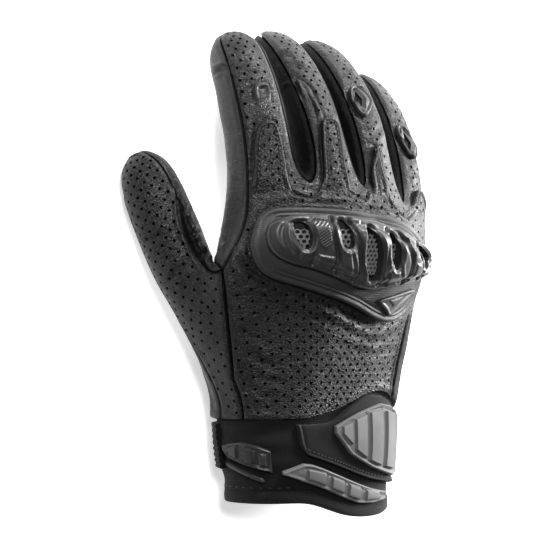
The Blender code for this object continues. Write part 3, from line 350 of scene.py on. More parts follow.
# Creases of the leather, or ridges where the depth is negative. on: the hand, a finger by its number,
# the thumb or the view. line: degrees round it and share of its length, or as for the gusset's seam.
CREASES = table(
    "on depth width line",
    ("view", 1.3, 0.9, THUMB_SEAM),
    ("view", -1.1, 0.9, ((2.7, 84.6), (6.8, 86.4), (11.3, 85.9), (15.3, 82.8), (18.0, 77.4),
        (20.7, 70.7), (22.0, 66.2))),
    ("view", 1.2, 0.8, SIDE_SEAM),
    ("view", 0.9, 1.0, ((-43.2, 27.5), (-40.0, 29.0), (-36.9, 32.0))),
    ("view", 0.9, 1.0, ((-39.6, 17.1), (-36.5, 18.5), (-33.3, 22.0))),
    ("view", 0.9, 1.0, ((-35.1, 7.7), (-32.0, 8.8), (-27.9, 12.6))),
    ("hand", 1.6, 2.1, ((-51.7, .524), (-37.3, .502), (-18, .452), (3.9, .397), (28.7, .359),
        (46.6, .394), (54.6, .449))),
    ("hand", 0.8, 2.0, ((-44, .426), (-25.9, .399), (-5.9, .353), (15.7, .315), (38.5, .295),
        (57.5, .329))),
    ("hand", 0.4, 1.6, ((-20.5, .300), (3, .262), (32.3, .232), (59, .246))),
    ("hand", 0.35, 1.2, ((-30, .462), (-5, .41), (14, .366), (33, .334))),
    ("hand", 0.8, 1.1, ((-60.4, .895), (-43.1, .912), (-9.1, .903), (21.9, .878), (37.6, .848),
        (52, .80))),
    ("hand", 0.9, 1.6, ((-68, .70), (-66.5, .63), (-60, .56), (-50, .52))),
    ("hand", 0.9, 0.75, ((-50.5, 1.01), (-48.6, .968), (-44.8, .946), (-37.6, .933), (-32.2, .947),
        (-30.0, .985))),
    ("hand", 0.9, 0.75, ((-13, 1.02), (-10.1, .972), (-5.9, .954), (0.6, .941), (8.1, .937),
        (12, .955), (15, .99))),
    ("hand", 0.9, 0.75, ((29, 1.0), (30.5, .963), (30.9, .921), (37.2, .88), (46.4, .854),
        (57.9, .876), (65.4, .935))),
    ("hand", 0.45, 1.6, ((-69.6, .258), (-65.6, .204), (-57.3, .177))),
    ("hand", 0.45, 1.6, ((-70.4, .16), (-63.8, .124), (-52.1, .105))),
    ("hand", 0.4, 1.5, ((-74, .36), (-66, .31), (-58, .29))),
    (0, 1.25, 1.1, ((-108, .74), (-88, .715), (-70, .70), (-52, .675))),
    (0, 0.5, 1.3, ((-30, .62), (-10, .635), (18, .63))),
    (0, 0.4, 1.2, ((-26, .70), (0, .71), (24, .70))),
    (1, 0.8, 1.4, ((-60, .60), (-38, .625), (-14, .60), (6, .56))),
    (1, 0.8, 1.3, ((-62, .66), (-40, .69), (-16, .665))),
    (2, 0.5, 1.4, ((-40, .60), (-14, .615), (12, .60))),
    (2, 0.6, 1.4, ((-38, .34), (-12, .315), (14, .325), (36, .35))),
    (2, 0.5, 1.2, ((-34, .27), (-10, .25), (18, .26))),
    (3, 0.5, 1.3, ((-34, .55), (-8, .565), (20, .55))),
    (3, 0.6, 1.3, ((-30, .27), (-4, .245), (22, .26))),
    ("thumb", 0.7, 1.4, ((-62, .36), (-36, .35), (-8, .37), (18, .40))),
    ("thumb", 0.5, 1.3, ((-50, .56), (-20, .55), (12, .57))),
    ("thumb", 0.8, 1.3, ((40, .30), (66, .33), (92, .36))),
    ("thumb", 0.7, 1.2, ((44, .38), (68, .41), (90, .45))))

# How much of its tables' relief the knuckle guard has, and how broad its blocks' sides are
GUARD_RELIEF = dict(block=0.8, groove=0.85, ridge=0.7, ridge_width=0.8)
BLOCK_SIDE = 0.5 * MM
# Relief of the knuckle guard, in degrees round the hand and shares of PALM_LENGTH
GUARD_BLOCKS = table(
    "rise hatched loop",
    (0.7, True, ((-40.5, .838), (-28, .832), (-26.8, .75), (-30.5, .715), (-35.2, .735))),
    (0.8, False, ((-36, .700), (-24.5, .688), (-25.8, .628), (-35.6, .642))),
    (0.6, False, ((-46.5, .715), (-41.8, .708), (-40.5, .655), (-45.5, .668))),
    (0.9, False, ((-19.0, .715), (-15.4, .712), (-13, .588), (-20.2, .600))),
    (0.9, False, ((15.4, .628), (20.0, .70), (28.6, .558), (19.6, .549))),
    (0.7, True, ((26.2, .770), (34.5, .752), (37.0, .70), (33.5, .695))),
    (0.8, False, ((37.4, .668), (43.6, .660), (46.5, .582), (37.9, .575))),
    (0.7, False, ((51.5, .622), (57.5, .640), (60.8, .607), (54.0, .592))),
    (0.5, False, ((-17.0, .838), (-8.6, .832), (-10.4, .772), (-13.6, .79))))
GUARD_GROOVES = table(
    "depth width line",
    (1.7, 1.0, ((-27.0, .838), (-25.8, .77), (-23.6, .70), (-24.8, .63))),
    (1.9, 1.1, ((-16.5, .832), (-12.5, .78), (-9.8, .70), (-8.6, .62), (-9.2, .548))),
    (1.3, 0.9, ((11.8, .79), (12.8, .72), (13.4, .64), (11.5, .56))),
    (1.7, 1.0, ((17.5, .800), (25.0, .755), (31.0, .70), (33.8, .655), (33.8, .56))),
    (1.2, 0.8, ((-38.4, .700), (-38.6, .648))),
    (1.2, 0.8, ((-22.6, .73), (-22.2, .60))),
    (1.3, 0.8, ((38.5, .755), (41.0, .70), (43.0, .68))),
    (1.2, 0.8, ((48.4, .64), (49.6, .575))))
GUARD_RIDGES = table(
    "depth width line",
    (0.9, 0.9, ((-53.6, .812), (-54.8, .775), (-53.8, .735), (-51.4, .705), (-49.8, .69))),
    (0.7, 0.7, ((-50.8, .80), (-51.4, .765), (-50.3, .728), (-48.2, .70))),
    (0.8, 0.8, ((-7.4, .79), (-7.2, .70), (-3.6, .60), (0.4, .572), (9.0, .575))),
    (0.6, 0.7, ((-14.6, .715), (-11.6, .66), (-11.4, .59))),
    (0.6, 0.7, ((21.4, .712), (26.0, .65), (29.4, .60))))
# Ridges and grooves along edges and lines, as rows of height, place and half width in millimetres
TONGUE_EDGE = ((0.40, 0.9, 0.7), (-0.45, 2.1, 0.5))
FLEX_EDGE = ((1.5, 1.0, 1.1), (-0.5, 2.9, 0.9))
FINGER_GUARD_EDGE = ((0.25, 0.9, 0.4), (-0.55, 1.8, 0.45))
DIAMOND_EDGE = ((0.35, 1.9, 0.45),)
FLANGE_EDGE = ((0.2, 1.2, 0.8), (-0.35, 2.6, 0.5), (-0.35, 4.2, 0.45))
GUARD_EDGE = ((0.7, 1.4, 1.2), (-0.5, 3.4, 0.9))
SLOT_EDGE = ((0.25, 1.4, 0.6), (-1.0, 0, 0.75))
PIPING_EDGE = ((0.75, 0, 0.75), (-0.35, 1.6, 0.5))
PLATE_EDGE = ((0.25, 0.9, 0.5), (-0.2, 1.9, 0.5))

# The piping on the wrist strap, in degrees and shares of CUFF_LENGTH
STRAP_PIPING = ((-50.2, -.10), (-50.7, .127), (-48.4, .289), (-45.9, .45), (-40.8, .556), (-11.2, .674),
                (12, .755), (34.3, .830), (56, .89), (78, .93))

# The camera stands on the thumb's side of the hand and looks down at this angle from straight above
CAMERA_LEAN = 35
CAMERA_DISTANCE = 1150 * MM
CAMERA_AIM = Vector((-16.8 * MM, 58.5 * MM, 30.2 * MM))
VIEW_WIDTH = 247.5 * MM
SENSOR = 36.0
LEAN = math.radians(CAMERA_LEAN)
VIEW_BACK = Vector((-math.sin(LEAN), 0, math.cos(LEAN)))
VIEW_RIGHT = Vector((math.cos(LEAN), 0, math.sin(LEAN)))


def smooth(t):
    """Eased step from 0 to 1"""
    t = min(1.0, max(0.0, t))
    return t * t * (3 - 2 * t)


def heading(yaw, pitch):
    """Unit vector from a yaw off +Y toward +X and a pitch up from the XY plane"""
    flat = math.cos(pitch)
    return Vector((math.sin(yaw) * flat, math.cos(yaw) * flat, math.sin(pitch)))


def finger_frame(finger, at):
    """Directions along, across and up at a share of a finger's length"""
    root, middle, end = finger["bends"]
    pitch = root
    pitch += (middle - root) * smooth((at - MIDDLE_JOINT) / BEND_SPAN + 0.5)
    pitch += (end - middle) * smooth((at - END_JOINT) / BEND_SPAN + 0.5)
    yaw = math.radians(finger["yaw"])
    along = heading(yaw, math.radians(pitch))
    across = Vector((math.cos(yaw), -math.sin(yaw), 0))
    turn = Matrix.Rotation(math.radians(finger["roll"]), 3, along)
    return along, turn @ across, turn @ across.cross(along)


def marched(centre, frame, length, at):
    """The point a share of a length on from a start, along a frame that turns"""
    steps = 24
    for k in range(steps):
        centre += frame(at * (k + 0.5) / steps)[0] * (length * at / steps)
    return centre


def finger_centre(finger, at):
    """Point on a finger's centre line; at may be below 0, back into the hand"""
    root = Vector((finger["across"] * FINGER_PITCH, finger["along"] * PALM_LENGTH,
                   finger["lift"] * ROOT_LIFT))
    length = finger["length"] * FINGER_LENGTH
    return marched(root, lambda share: finger_frame(finger, share), length, at)


def thumb_frame(at):
    """Directions along, across and up at a share of the thumb's length"""
    root, middle, end = THUMB["pitch"]
    pitch = root + (middle - root) * smooth(at / 0.4) + (end - middle) * smooth((at - 0.5) / 0.3)
    pitch = math.radians(pitch)
    yaw = math.radians(THUMB["yaw"] + THUMB["base_yaw"] * (1 - smooth(at / 0.45)))
    along = heading(yaw, pitch)
    yaw += math.radians(THUMB["facing"]) * (1 - smooth(at / 0.5))
    facing = heading(yaw, pitch)
    across = Vector((math.cos(yaw), -math.sin(yaw), 0))
    turn = Matrix.Rotation(math.radians(THUMB["roll"]) * smooth(0.3 + at / 0.4), 3, facing)
    return along, turn @ across, turn @ across.cross(facing)


def thumb_centre(at):
    """Point on the thumb's centre line"""
    across, along, lift = THUMB["root"]
    root = Vector((across * WRIST_WIDTH, along * PALM_LENGTH, lift * ROOT_LIFT))
    return marched(root, thumb_frame, THUMB_LENGTH, at)


def section_ring(centre, across, up, wide, high):
    """Eight cage points round a finger's section"""
    return [centre + across * (x * wide) + up * (z * high) for x, z in SECTION]


def finger_rings(finger):
    """Cage sections of one finger and its tip"""
    rings = []
    half_wide = FINGER_WIDTH * finger["girth"] / 2 / CAGE_FIT
    half_high = FINGER_HEIGHT * finger["girth"] / 2 / CAGE_FIT
    for row in FINGER_SECTIONS:
        _, across, up = finger_frame(finger, row["at"])
        extra = half_wide * finger["full"] * (1 - smooth((row["at"] - 0.1) / 0.5))
        centre = finger_centre(finger, row["at"]) + across * extra
        wide = half_wide * row["wide"] + extra
        rings.append(section_ring(centre, across, up, wide, half_high * row["high"]))
    return rings, finger_centre(finger, TIP_AT)


def thumb_rings():
    """Cage sections of the thumb and its tip"""
    rings = []
    for row in THUMB_SECTIONS:
        _, across, up = thumb_frame(row["at"])
        half_wide = THUMB_WIDTH / 2 * row["wide"] / CAGE_FIT
        half_high = THUMB_HEIGHT / 2 * row["high"] / CAGE_FIT
        rings.append(section_ring(thumb_centre(row["at"]), across, up, half_wide, half_high))
    return rings, thumb_centre(TIP_AT)


def mesh_of(bm, name):
    """The mesh of a finished bmesh"""
    mesh = bpy.data.meshes.new(name)
    bm.to_mesh(mesh)
    bm.free()
    return mesh


def mesh_from(name, verts, faces):
    """A mesh from its points and faces"""
    mesh = bpy.data.meshes.new(name)
    mesh.from_pydata(verts, [], faces)
    return mesh


def shown(name, data):
    """A new object in the scene"""
    item = bpy.data.objects.new(name, data)
    bpy.context.scene.collection.objects.link(item)
    return item


def tree_of(points):
    """A search tree over the points"""
    tree = KDTree(len(points))
    for k, point in enumerate(points):
        tree.insert(point, k)
    tree.balance()
    return tree


def wrist_angles():
    """Angles round the wrist: over the back, the little finger's edge, over the palm, the thumb's edge"""
    span = 180 - THUMB_CORNER - LITTLE_CORNER
    back = [180 - THUMB_CORNER - span * k / (ACROSS - 1) for k in range(ACROSS)]
    span = 180 - 2 * LITTLE_CORNER
    palm = [-LITTLE_CORNER - span * k / (ACROSS - 1) for k in range(ACROSS)]
    return back + [0] + palm + [180]


def wrap_angle(x, z):
    """Degrees round the hand from its top toward +X"""
    return math.degrees(math.atan2(x - AXIS_X, z - AXIS_Z))


def hump(turn, start, rise, end, fall):
    """A smooth hump of height 1 round the hand; all in degrees"""
    return smooth((turn - start) / rise) * (1 - smooth((turn - end) / fall))


def hem_height(x, z):
    """The leather's lower edge, raised where the strap's pad sits"""
    return HEM_RISE * hump(wrap_angle(x, z), *HEM_HUMP) - HEM_DROP


def wrist_point(angle, wide, high, shift=0.0, lift=0.0):
    """A point on a rounded section of the wrist, without its height along the hand"""
    c, s = math.cos(math.radians(angle)), math.sin(math.radians(angle))
    x = math.copysign(abs(c) ** WRIST_ROUNDING, c) * wide / 2
    z = math.copysign(abs(s) ** WRIST_ROUNDING, s) * high / 2
    return Vector((x + WRIST_SHIFT + shift, 0, z + WRIST_LIFT + lift))


def cuff_depth(x, z):
    """Distance of the cuff's lower edge below the wrist, deepest under the strap's pad"""
    return CUFF_LENGTH + CUFF_DIP * hump(wrap_angle(x, z), *CUFF_HUMP)


def cuff_cage():
    """Cage of the cuff's outer face, from inside the leather down to its lower edge"""
    room_wide = WRIST_WIDTH - 2 * (LEATHER + LAY_GAP)
    room_high = WRIST_HEIGHT - 2 * (LEATHER + LAY_GAP)
    bm = bmesh.new()
    rings = []
    for row in CUFF_ROWS:
        ring = []
        for angle in wrist_angles():
            point = wrist_point(angle, room_wide * row["wide"], room_high * row["high"],
                                row["shift"] * WRIST_WIDTH, row["lift"] * WRIST_HEIGHT)
            hem = hem_height(point.x, point.z)
            point.y = hem - row["at"] * (hem + cuff_depth(point.x, point.z))
            ring.append(bm.verts.new(point))
        rings.append(ring)
    for upper, lower in zip(rings, rings[1:]):
        for k in range(AROUND):
            after = (k + 1) % AROUND
            bm.faces.new([upper[k], upper[after], lower[after], lower[k]])
    bmesh.ops.recalc_face_normals(bm, faces=bm.faces)
    return mesh_of(bm, "cuff_cage")


def wrist_ring():
    """Cage points of the leather's hem"""
    ring = []
    for angle in wrist_angles():
        point = wrist_point(angle, WRIST_WIDTH, WRIST_HEIGHT)
        point.y = hem_height(point.x, point.z)
        ring.append(point)
    return ring


def root_ring(rings):
    """Cage points round the finger roots, and the three points inside the crotches"""
    back, palm, inside = [], [], []
    back.append(rings[0][0])
    palm.append(rings[0][6])
    for k, ring in enumerate(rings):
        back.append(ring[1])
        palm.append(ring[5])
        if k < len(rings) - 1:
            following = rings[k + 1]
            back.append((ring[2] + following[0]) / 2)
            web = Vector((0, WEB * FINGER_LENGTH, 0))
            inside.append((ring[3] + following[7]) / 2 + web)
            palm.append((ring[4] + following[6]) / 2 + web)
        else:
            back.append(ring[2])
            palm.append(ring[4])
    return back + [rings[-1][3]] + palm[::-1] + [rings[0][7]], inside


def palm_ring(row, wrist, root):
    """Cage points of one row between the wrist and the finger roots"""
    ring = []
    for k in range(AROUND):
        point = wrist[k].lerp(root[k], row["at"])
        if k <= 8:
            point.z += row["back"] * ROOT_LIFT * math.sin(math.pi * (k + 0.7) / 9.4)
        elif 10 <= k <= 18:
            point.z -= row["palm"] * ROOT_LIFT * math.sin(math.pi * (k - 9.3) / 9.4)
        if k == 0:
            point.x -= row["corner"] * WRIST_WIDTH
        elif k in (18, 19):
            point.x -= row["side"] * WRIST_WIDTH
        ring.append(point)
    return ring


def skin_cage():
    """The whole skin as a coarse cage; each face's material index is its panel"""
    fingers = [finger_rings(finger) for finger in FINGERS]
    root, inside = root_ring([rings[0] for rings, _ in fingers])
    wrist = wrist_ring()
    bm = bmesh.new()

    def add_face(corners, panel):
        bm.faces.new(corners).material_index = PANELS.index(panel)

    def add_tube(ring, rings, tip, panels, end_panels):
        for points in rings:
            sides = end_panels if points is rings[-1] else panels
            following = [bm.verts.new(point) for point in points]
            for k in range(len(SECTION)):
                after = (k + 1) % len(SECTION)
                add_face([ring[k], following[k], following[after], ring[after]], sides[k])
            ring = following
        end = bm.verts.new(tip)
        for k in range(0, len(SECTION), 2):
            add_face([ring[k], end, ring[(k + 2) % len(SECTION)], ring[k + 1]], end_panels[k])

    rows = [[bm.verts.new(point) for point in palm_ring(row, wrist, root)] for row in PALM_ROWS]
    rows.append([bm.verts.new(point) for point in root])
    for j in range(len(rows) - 1):
        for k in range(AROUND):
            if k >= 18 and j in THUMB_ROWS:
                continue
            if k < 8:
                panel = "back_panel"
            elif k < 10:
                panel = "little_side_panel"
            elif k < 18:
                panel = "palm_panel"
            elif j == 0:
                panel = "thumb_palm_panel" if k == 18 else "thumb_back_panel"
            else:
                panel = "index_side_panel"
            after = (k + 1) % AROUND
            add_face([rows[j][k], rows[j + 1][k], rows[j + 1][after], rows[j][after]], panel)

    crown = rows[-1]
    middles = [crown[19]] + [bm.verts.new(point) for point in inside] + [crown[9]]
    back, palm = crown[0:9], crown[10:19][::-1]
    sides = ["index_side_panel", *PANELS[4:7], "little_side_panel"]
    for i, (rings, tip) in enumerate(fingers):
        ring = [back[2 * i], back[2 * i + 1], back[2 * i + 2], middles[i + 1],
                palm[2 * i + 2], palm[2 * i + 1], palm[2 * i], middles[i]]
        panels = ["back_panel"] * 2 + [sides[i + 1]] * 2 + ["palm_panel"] * 2 + [sides[i]] * 2
        add_tube(ring, rings[1:], tip, panels, panels)

    low, mid, high = rows[1], rows[2], rows[3]
    ring = [low[0], mid[0], high[0], high[19], high[18], mid[18], low[18], low[19]]
    rings, tip = thumb_rings()
    back, gusset, palm = PANELS[7], PANELS[9], PANELS[8]
    panels = [back] * 2 + [gusset] * 2 + [palm] * 3 + [back]
    add_tube(ring, rings, tip, panels, panels[:6] + [back] * 2)

    unused = [vertex for vertex in bm.verts if not vertex.link_faces]
    bmesh.ops.delete(bm, geom=unused, context="VERTS")
    bmesh.ops.recalc_face_normals(bm, faces=bm.faces)
    mesh = mesh_of(bm, "skin_cage")
    for panel in PANELS:
        mesh.materials.append(bpy.data.materials.new("cage_" + panel))
    return mesh


class Surface:
    """A surface that flat patterns are laid on"""

    def __init__(self, mesh):
        self.points = [vertex.co.copy() for vertex in mesh.vertices]
        self.normals = [vertex.normal.copy() for vertex in mesh.vertices]
        self.faces = [tuple(face.vertices) for face in mesh.polygons]
        self.panels = [face.material_index for face in mesh.polygons]
        self.tree = BVHTree.FromPolygons(self.points, self.faces)

    def spot(self, start, toward):
        """Where a ray meets the surface: the point, the normal there and the face's panel"""
        point, _, index, _ = self.tree.ray_cast(start, toward)
        if point is None:
            return None
        corners = self.faces[index]
        weights = poly_3d_calc([self.points[k] for k in corners], point)
        normal = Vector()
        for weight, k in zip(weights, corners):
            normal += self.normals[k] * weight
        return point, normal.normalized(), self.panels[index]


class Wrap:
    """Flat pattern coordinates on a surface: across, round an axis; along, from its start"""

    def __init__(self, surface, length, radius):
        self.surface = surface
        self.length = length
        self.radius = radius

    def flat(self, degrees, share):
        return Vector((math.radians(degrees) * self.radius, share * self.length))


class HandWrap(Wrap):
    """A wrap round the hand, from the wrist"""

    def __init__(self, surface, length=PALM_LENGTH):
        super().__init__(surface, length, WRAP_RADIUS)

    def spot(self, flat):
        angle = flat[0] / self.radius
        out = Vector((math.sin(angle), 0, math.cos(angle)))
        start = Vector((AXIS_X, flat[1], AXIS_Z)) + out * FAR
        return self.surface.spot(start, -out)


class DigitWrap(Wrap):
    """A wrap round a finger or the thumb, from its root; reach: how far out its rays start"""

    def __init__(self, surface, length, width, reach, frame, centre):
        super().__init__(surface, length, width / 2)
        self.reach = reach
        self.frame = frame
        self.centre = centre

    def spot(self, flat):
        at = flat[1] / self.length
        angle = flat[0] / self.radius
        _, across, up = self.frame(at)
        out = across * math.sin(angle) + up * math.cos(angle)
        return self.surface.spot(self.centre(at) + out * self.reach, -out)


def finger_wrap(surface, number):
    """The wrap round a finger"""
    finger = FINGERS[number]
    length, width = FINGER_LENGTH * finger["length"], FINGER_WIDTH * finger["girth"]
    return DigitWrap(surface, length, width, FINGER_WIDTH,
                     lambda at: finger_frame(finger, at), lambda at: finger_centre(finger, at))


def thumb_wrap(surface):
    """The wrap round the thumb"""
    return DigitWrap(surface, THUMB_LENGTH, THUMB_WIDTH, THUMB_WIDTH, thumb_frame, thumb_centre)


class ViewWrap:
    """Flat places as the camera sees them: across and up the view, from the middle of the frame"""

    def __init__(self, surface):
        self.surface = surface
        self.eye = CAMERA_AIM + VIEW_BACK * CAMERA_DISTANCE

    def flat(self, across, up):
        return Vector((across * MM, up * MM))

    def seen(self, point):
        """Where a point lies in the view"""
        offset = Vector(point) - self.eye
        scale = CAMERA_DISTANCE / -offset.dot(VIEW_BACK)
        return offset.dot(VIEW_RIGHT) * scale, offset.y * scale

    def spot(self, flat):
        aim = CAMERA_AIM + VIEW_RIGHT * flat[0] + Vector((0, flat[1], 0))
        return self.surface.spot(self.eye, (aim - self.eye).normalized())

    def is_beyond(self, seam, point, margin=0.0):
        """Whether a point lies on the smooth side of a seam that runs down the view"""
        across, up = self.seen(point)
        seam = np.array(seam)[::-1] * MM
        return seam[0, 1] < up < seam[-1, 1] and across > np.interp(up, seam[:, 1], seam[:, 0]) - margin


def wrap_on(surface, place):
    """The wrap that a table's word or finger number stands for"""
    named = dict(hand=HandWrap, thumb=thumb_wrap, view=ViewWrap)
    return named[place](surface) if place in named else finger_wrap(surface, place)


def subdivided(mesh, levels):
    """The mesh's Subdivision Surface, settled on the ground"""
    guide = shown("guide", mesh)
    soften = guide.modifiers.new("soften", "SUBSURF")
    soften.levels = levels
    soften.render_levels = levels
    evaluated = guide.evaluated_get(bpy.context.evaluated_depsgraph_get())
    surface = bpy.data.meshes.new_from_object(evaluated)
    bpy.data.objects.remove(guide)
    for vertex in surface.vertices:
        vertex.co.z = max(vertex.co.z, 0)
    return surface


def as_array(points):
    """Vectors as rows of an array"""
    return np.array([tuple(point) for point in points], float)


def spline(a, b, c, d, t):
    """The point a share of the way from b to c on a smooth curve from a to d"""
    return (2 * b + (c - a) * t + (2 * a - 5 * b + 4 * c - d) * t ** 2
            + (3 * b - a - 3 * c + d) * t ** 3) / 2


def open_curve(points, turns=8):
    """A smooth open curve through the points, as rows of an array"""
    points = [np.array(point, float) for point in points]
    points = [2 * points[0] - points[1], *points, 2 * points[-1] - points[-2]]
    curve = []
    for a, b, c, d in zip(points, points[1:], points[2:], points[3:]):
        curve += [spline(a, b, c, d, t) for t in np.arange(turns) / turns]
    return np.array([*curve, points[-2]])


def flat_curve(wrap, line, turns=8):
    """A table's line of degrees and shares as a smooth flat curve"""
    return open_curve([wrap.flat(*point) for point in line], turns)


def flat_loop(wrap, corners):
    """A table's corners of degrees and shares as a flat loop"""
    return as_array([wrap.flat(*corner) for corner in corners])


def line_distance(points, line, closed=False):
    """Distance from each flat point to a line"""
    ends = np.roll(line, -1, 0) if closed else line[1:]
    nearest = np.full(len(points), FAR)
    for a, b in zip(line, ends):
        run = b - a
        share = np.clip((points - a) @ run / max(run @ run, 1e-18), 0, 1)
        nearest = np.minimum(nearest, np.linalg.norm(points - a - share[:, None] * run, axis=1))
    return nearest


def is_within(points, loop):
    """Which of the flat points lie inside a closed loop"""
    within = np.zeros(len(points), bool)
    for a, b in zip(loop, np.roll(loop, -1, 0)):
        if a[1] == b[1]:
            continue
        crosses = (a[1] > points[:, 1]) != (b[1] > points[:, 1])
        edge = a[0] + (b[0] - a[0]) * (points[:, 1] - a[1]) / (b[1] - a[1])
        within ^= crosses & (points[:, 0] < edge)
    return within


def depth_within(points, loop):
    """Distance of each flat point from the loop, below zero outside it"""
    distance = line_distance(points, loop, closed=True)
    return np.where(is_within(points, loop), distance, -distance)


def eased(values):
    """Smooth steps from 0 to 1"""
    t = np.clip(values, 0, 1)
    return t * t * (3 - 2 * t)


def rounding(distance, radius):
    """A quarter-round edge: 0 at the edge, 1 from one radius in"""
    t = np.clip(distance / radius, 0, 1)
    return np.sqrt(1 - (1 - t) ** 2)


def bump(distance, width):
    """A soft ridge of height 1 and the given half width"""
    return np.exp(-(distance / width) ** 2)


def waves(distance, rows):
    """Ridges and grooves at a distance from a line, from rows of a table"""
    return sum(height * MM * bump(distance - place * MM, width * MM) for height, place, width in rows)


def split(loop, step, closed=True):
    """The loop with its edges split into runs no longer than a step"""
    points = []
    ends = np.roll(loop, -1, 0) if closed else loop[1:]
    for a, b in zip(loop, ends):
        runs = max(1, math.ceil(np.linalg.norm(b - a) / step))
        points += [a + (b - a) * (n / runs) for n in range(runs)]
    return np.array(points)


def drawn_in(loop, distance):
    """The loop drawn in on all sides by a distance"""
    after = np.roll(loop, -1, 0) - loop
    after /= np.maximum(np.linalg.norm(after, axis=1), 1e-12)[:, None]
    before = np.roll(after, 1, 0)
    area = np.sum(loop[:, 0] * np.roll(loop[:, 1], -1) - np.roll(loop[:, 0], -1) * loop[:, 1])
    inward = np.stack([-(before + after)[:, 1], (before + after)[:, 0]], 1) * math.copysign(1, area)
    inward /= np.maximum(np.linalg.norm(inward, axis=1), 1e-12)[:, None]
    lean = np.sum(inward * np.stack([-before[:, 1], before[:, 0]], 1), 1) * math.copysign(1, area)
    return loop + inward * (distance / np.maximum(0.5, lean))[:, None]


def rings(loop, step, shares):
    """The loop drawn in by several distances in millimetres, with points that face each other"""
    fine = split(loop, step)
    return [drawn_in(fine, share * MM) for share in shares]


def beside(line, distances):
    """An open line and lines at several distances in millimetres beside it"""
    run = np.gradient(line, axis=0)
    run /= np.linalg.norm(run, axis=1)[:, None]
    across = np.stack([-run[:, 1], run[:, 0]], 1)
    return [line + across * distance * MM for distance in distances]


def staggered(low, high, step, row):
    """A staggered grid of flat points over a box"""
    points = []
    for j in range(int((high[1] - low[1]) / row) + 2):
        for i in range(int((high[0] - low[0]) / step) + 2):
            points.append((low[0] + (i + j % 2 / 2) * step, low[1] + j * row))
    return np.array(points)


def clear_of(points, others, distance):
    """The points that keep a distance from all the others"""
    if not len(others):
        return points
    tree = tree_of([(other[0], other[1], 0) for other in others])
    return np.array([p for p in points if tree.find((p[0], p[1], 0))[2] > distance]).reshape(-1, 2)


def filled(outline, holes, guides, step):
    """Flat points and triangles that fill an outline between its holes, with points on the guides"""
    loops = [split(outline, step), *holes]
    rim = np.vstack(loops)
    edges = []
    first = 0
    for loop in loops:
        edges += [(first + k, first + (k + 1) % len(loop)) for k in range(len(loop))]
        first += len(loop)
    guides = np.vstack(guides) if guides else np.zeros((0, 2))
    grid = staggered(outline.min(0), outline.max(0), step, step * math.sqrt(3) / 2)
    inner = []
    for points, margin in ((guides, 0.2), (grid, 0.6)):
        points = points[depth_within(points, outline) > margin * step] if len(points) else points
        if len(points):
            points = clear_of(points, rim, margin * step)
            for hole in holes:
                points = points[~is_within(points, hole)]
        if inner:
            points = clear_of(points, inner[0], margin * step)
        inner.append(points)
    flat = np.vstack([rim, *inner])
    verts, _, faces, _, _, _ = delaunay_2d_cdt([Vector(point) for point in flat], edges, [], 1, 1e-7)
    verts = as_array(verts)
    faces = np.array(faces)
    centres = verts[faces].mean(1)
    kept = np.ones(len(faces), bool)
    for hole in holes:
        near = np.linalg.norm(centres - hole.mean(0), axis=1) < np.ptp(hole, axis=0).max()
        kept[near] &= ~is_within(centres[near], hole)
    return verts, faces[kept]


def closed_sheet(name, upper, lower, faces):
    """A closed mesh between two layers of points that have the same faces"""
    count = len(upper)
    faces = [tuple(int(k) for k in face) for face in faces]
    edges = {(a, b) for face in faces for a, b in zip(face, face[1:] + face[:1])}
    sides = [(b, a, a + count, b + count) for a, b in edges if (b, a) not in edges]
    under = [tuple(k + count for k in reversed(face)) for face in faces]
    return mesh_from(name, [*upper, *lower], faces + under + sorted(sides))


def laid_sheet(name, wrap, outline, bottom, top, holes=(), guides=(), step=SHEET_STEP):
    """A closed sheet laid on a surface; bottom is a height over it, top gives heights for points"""
    flat, faces = filled(outline, list(holes), list(guides), step)
    heights = top(flat)
    upper, lower = [], []
    for point, height in zip(flat, heights):
        spot, normal, _ = wrap.spot(point)
        upper.append(spot + normal * max(height, bottom + 0.05 * MM))
        lower.append(spot + normal * bottom)
    mesh = closed_sheet(name, upper, lower, faces)
    return mesh, flat, faces


def tubes(name, lines, radius, sides=6):
    """Round threads along lines of points, closed at both ends, in one mesh"""
    verts, faces = [], []
    for line in lines:
        first = len(verts)
        count = len(line)
        for k, (point, normal) in enumerate(line):
            run = line[min(k + 1, count - 1)][0] - line[max(k - 1, 0)][0]
            side = run.cross(normal).normalized()
            share = k / (count - 1)
            size = radius * math.sqrt(max(0.09, 1 - (2 * share - 1) ** 4))
            for n in range(sides):
                turn = 2 * math.pi * n / sides
                verts.append(point + (side * math.cos(turn) + normal * math.sin(turn)) * size)
        for k in range(count - 1):
            for n in range(sides):
                a = first + k * sides + n
                b = first + k * sides + (n + 1) % sides
                faces.append((a, a + sides, b + sides, b))
        faces.append(tuple(first + n for n in range(sides)))
        faces.append(tuple(first + (count - 1) * sides + n for n in reversed(range(sides))))
    return mesh_from(name, verts, faces)


def stitches(wrap, curve, height, length=1.9 * MM, gap=0.8 * MM):
    """Short threads along a flat curve, at a height over the surface"""
    path = split(curve, 0.1 * MM, closed=False)
    run = np.concatenate([[0], np.cumsum(np.linalg.norm(np.diff(path, axis=0), axis=1))])
    lines = []
    start = gap
    while start + length < run[-1]:
        line = []
        for share, sink in STITCH_ARCH:
            at = start + share * length
            flat = (np.interp(at, run, path[:, 0]), np.interp(at, run, path[:, 1]))
            found = wrap.spot(flat)
            if found:
                line.append((found[0] + found[1] * (height + sink * MM), found[1]))
        if len(line) == len(STITCH_ARCH):
            lines.append(line)
        start += length + gap
    return lines


def rounded_loop(corners, turns):
    """A closed smooth curve through the corners, with some points between each two"""
    loop = []
    for k in range(len(corners)):
        near = [corners[(k + n) % len(corners)] for n in (-1, 0, 1, 2)]
        loop += [spline(*near, n / turns) for n in range(turns)]
    return as_array(loop)


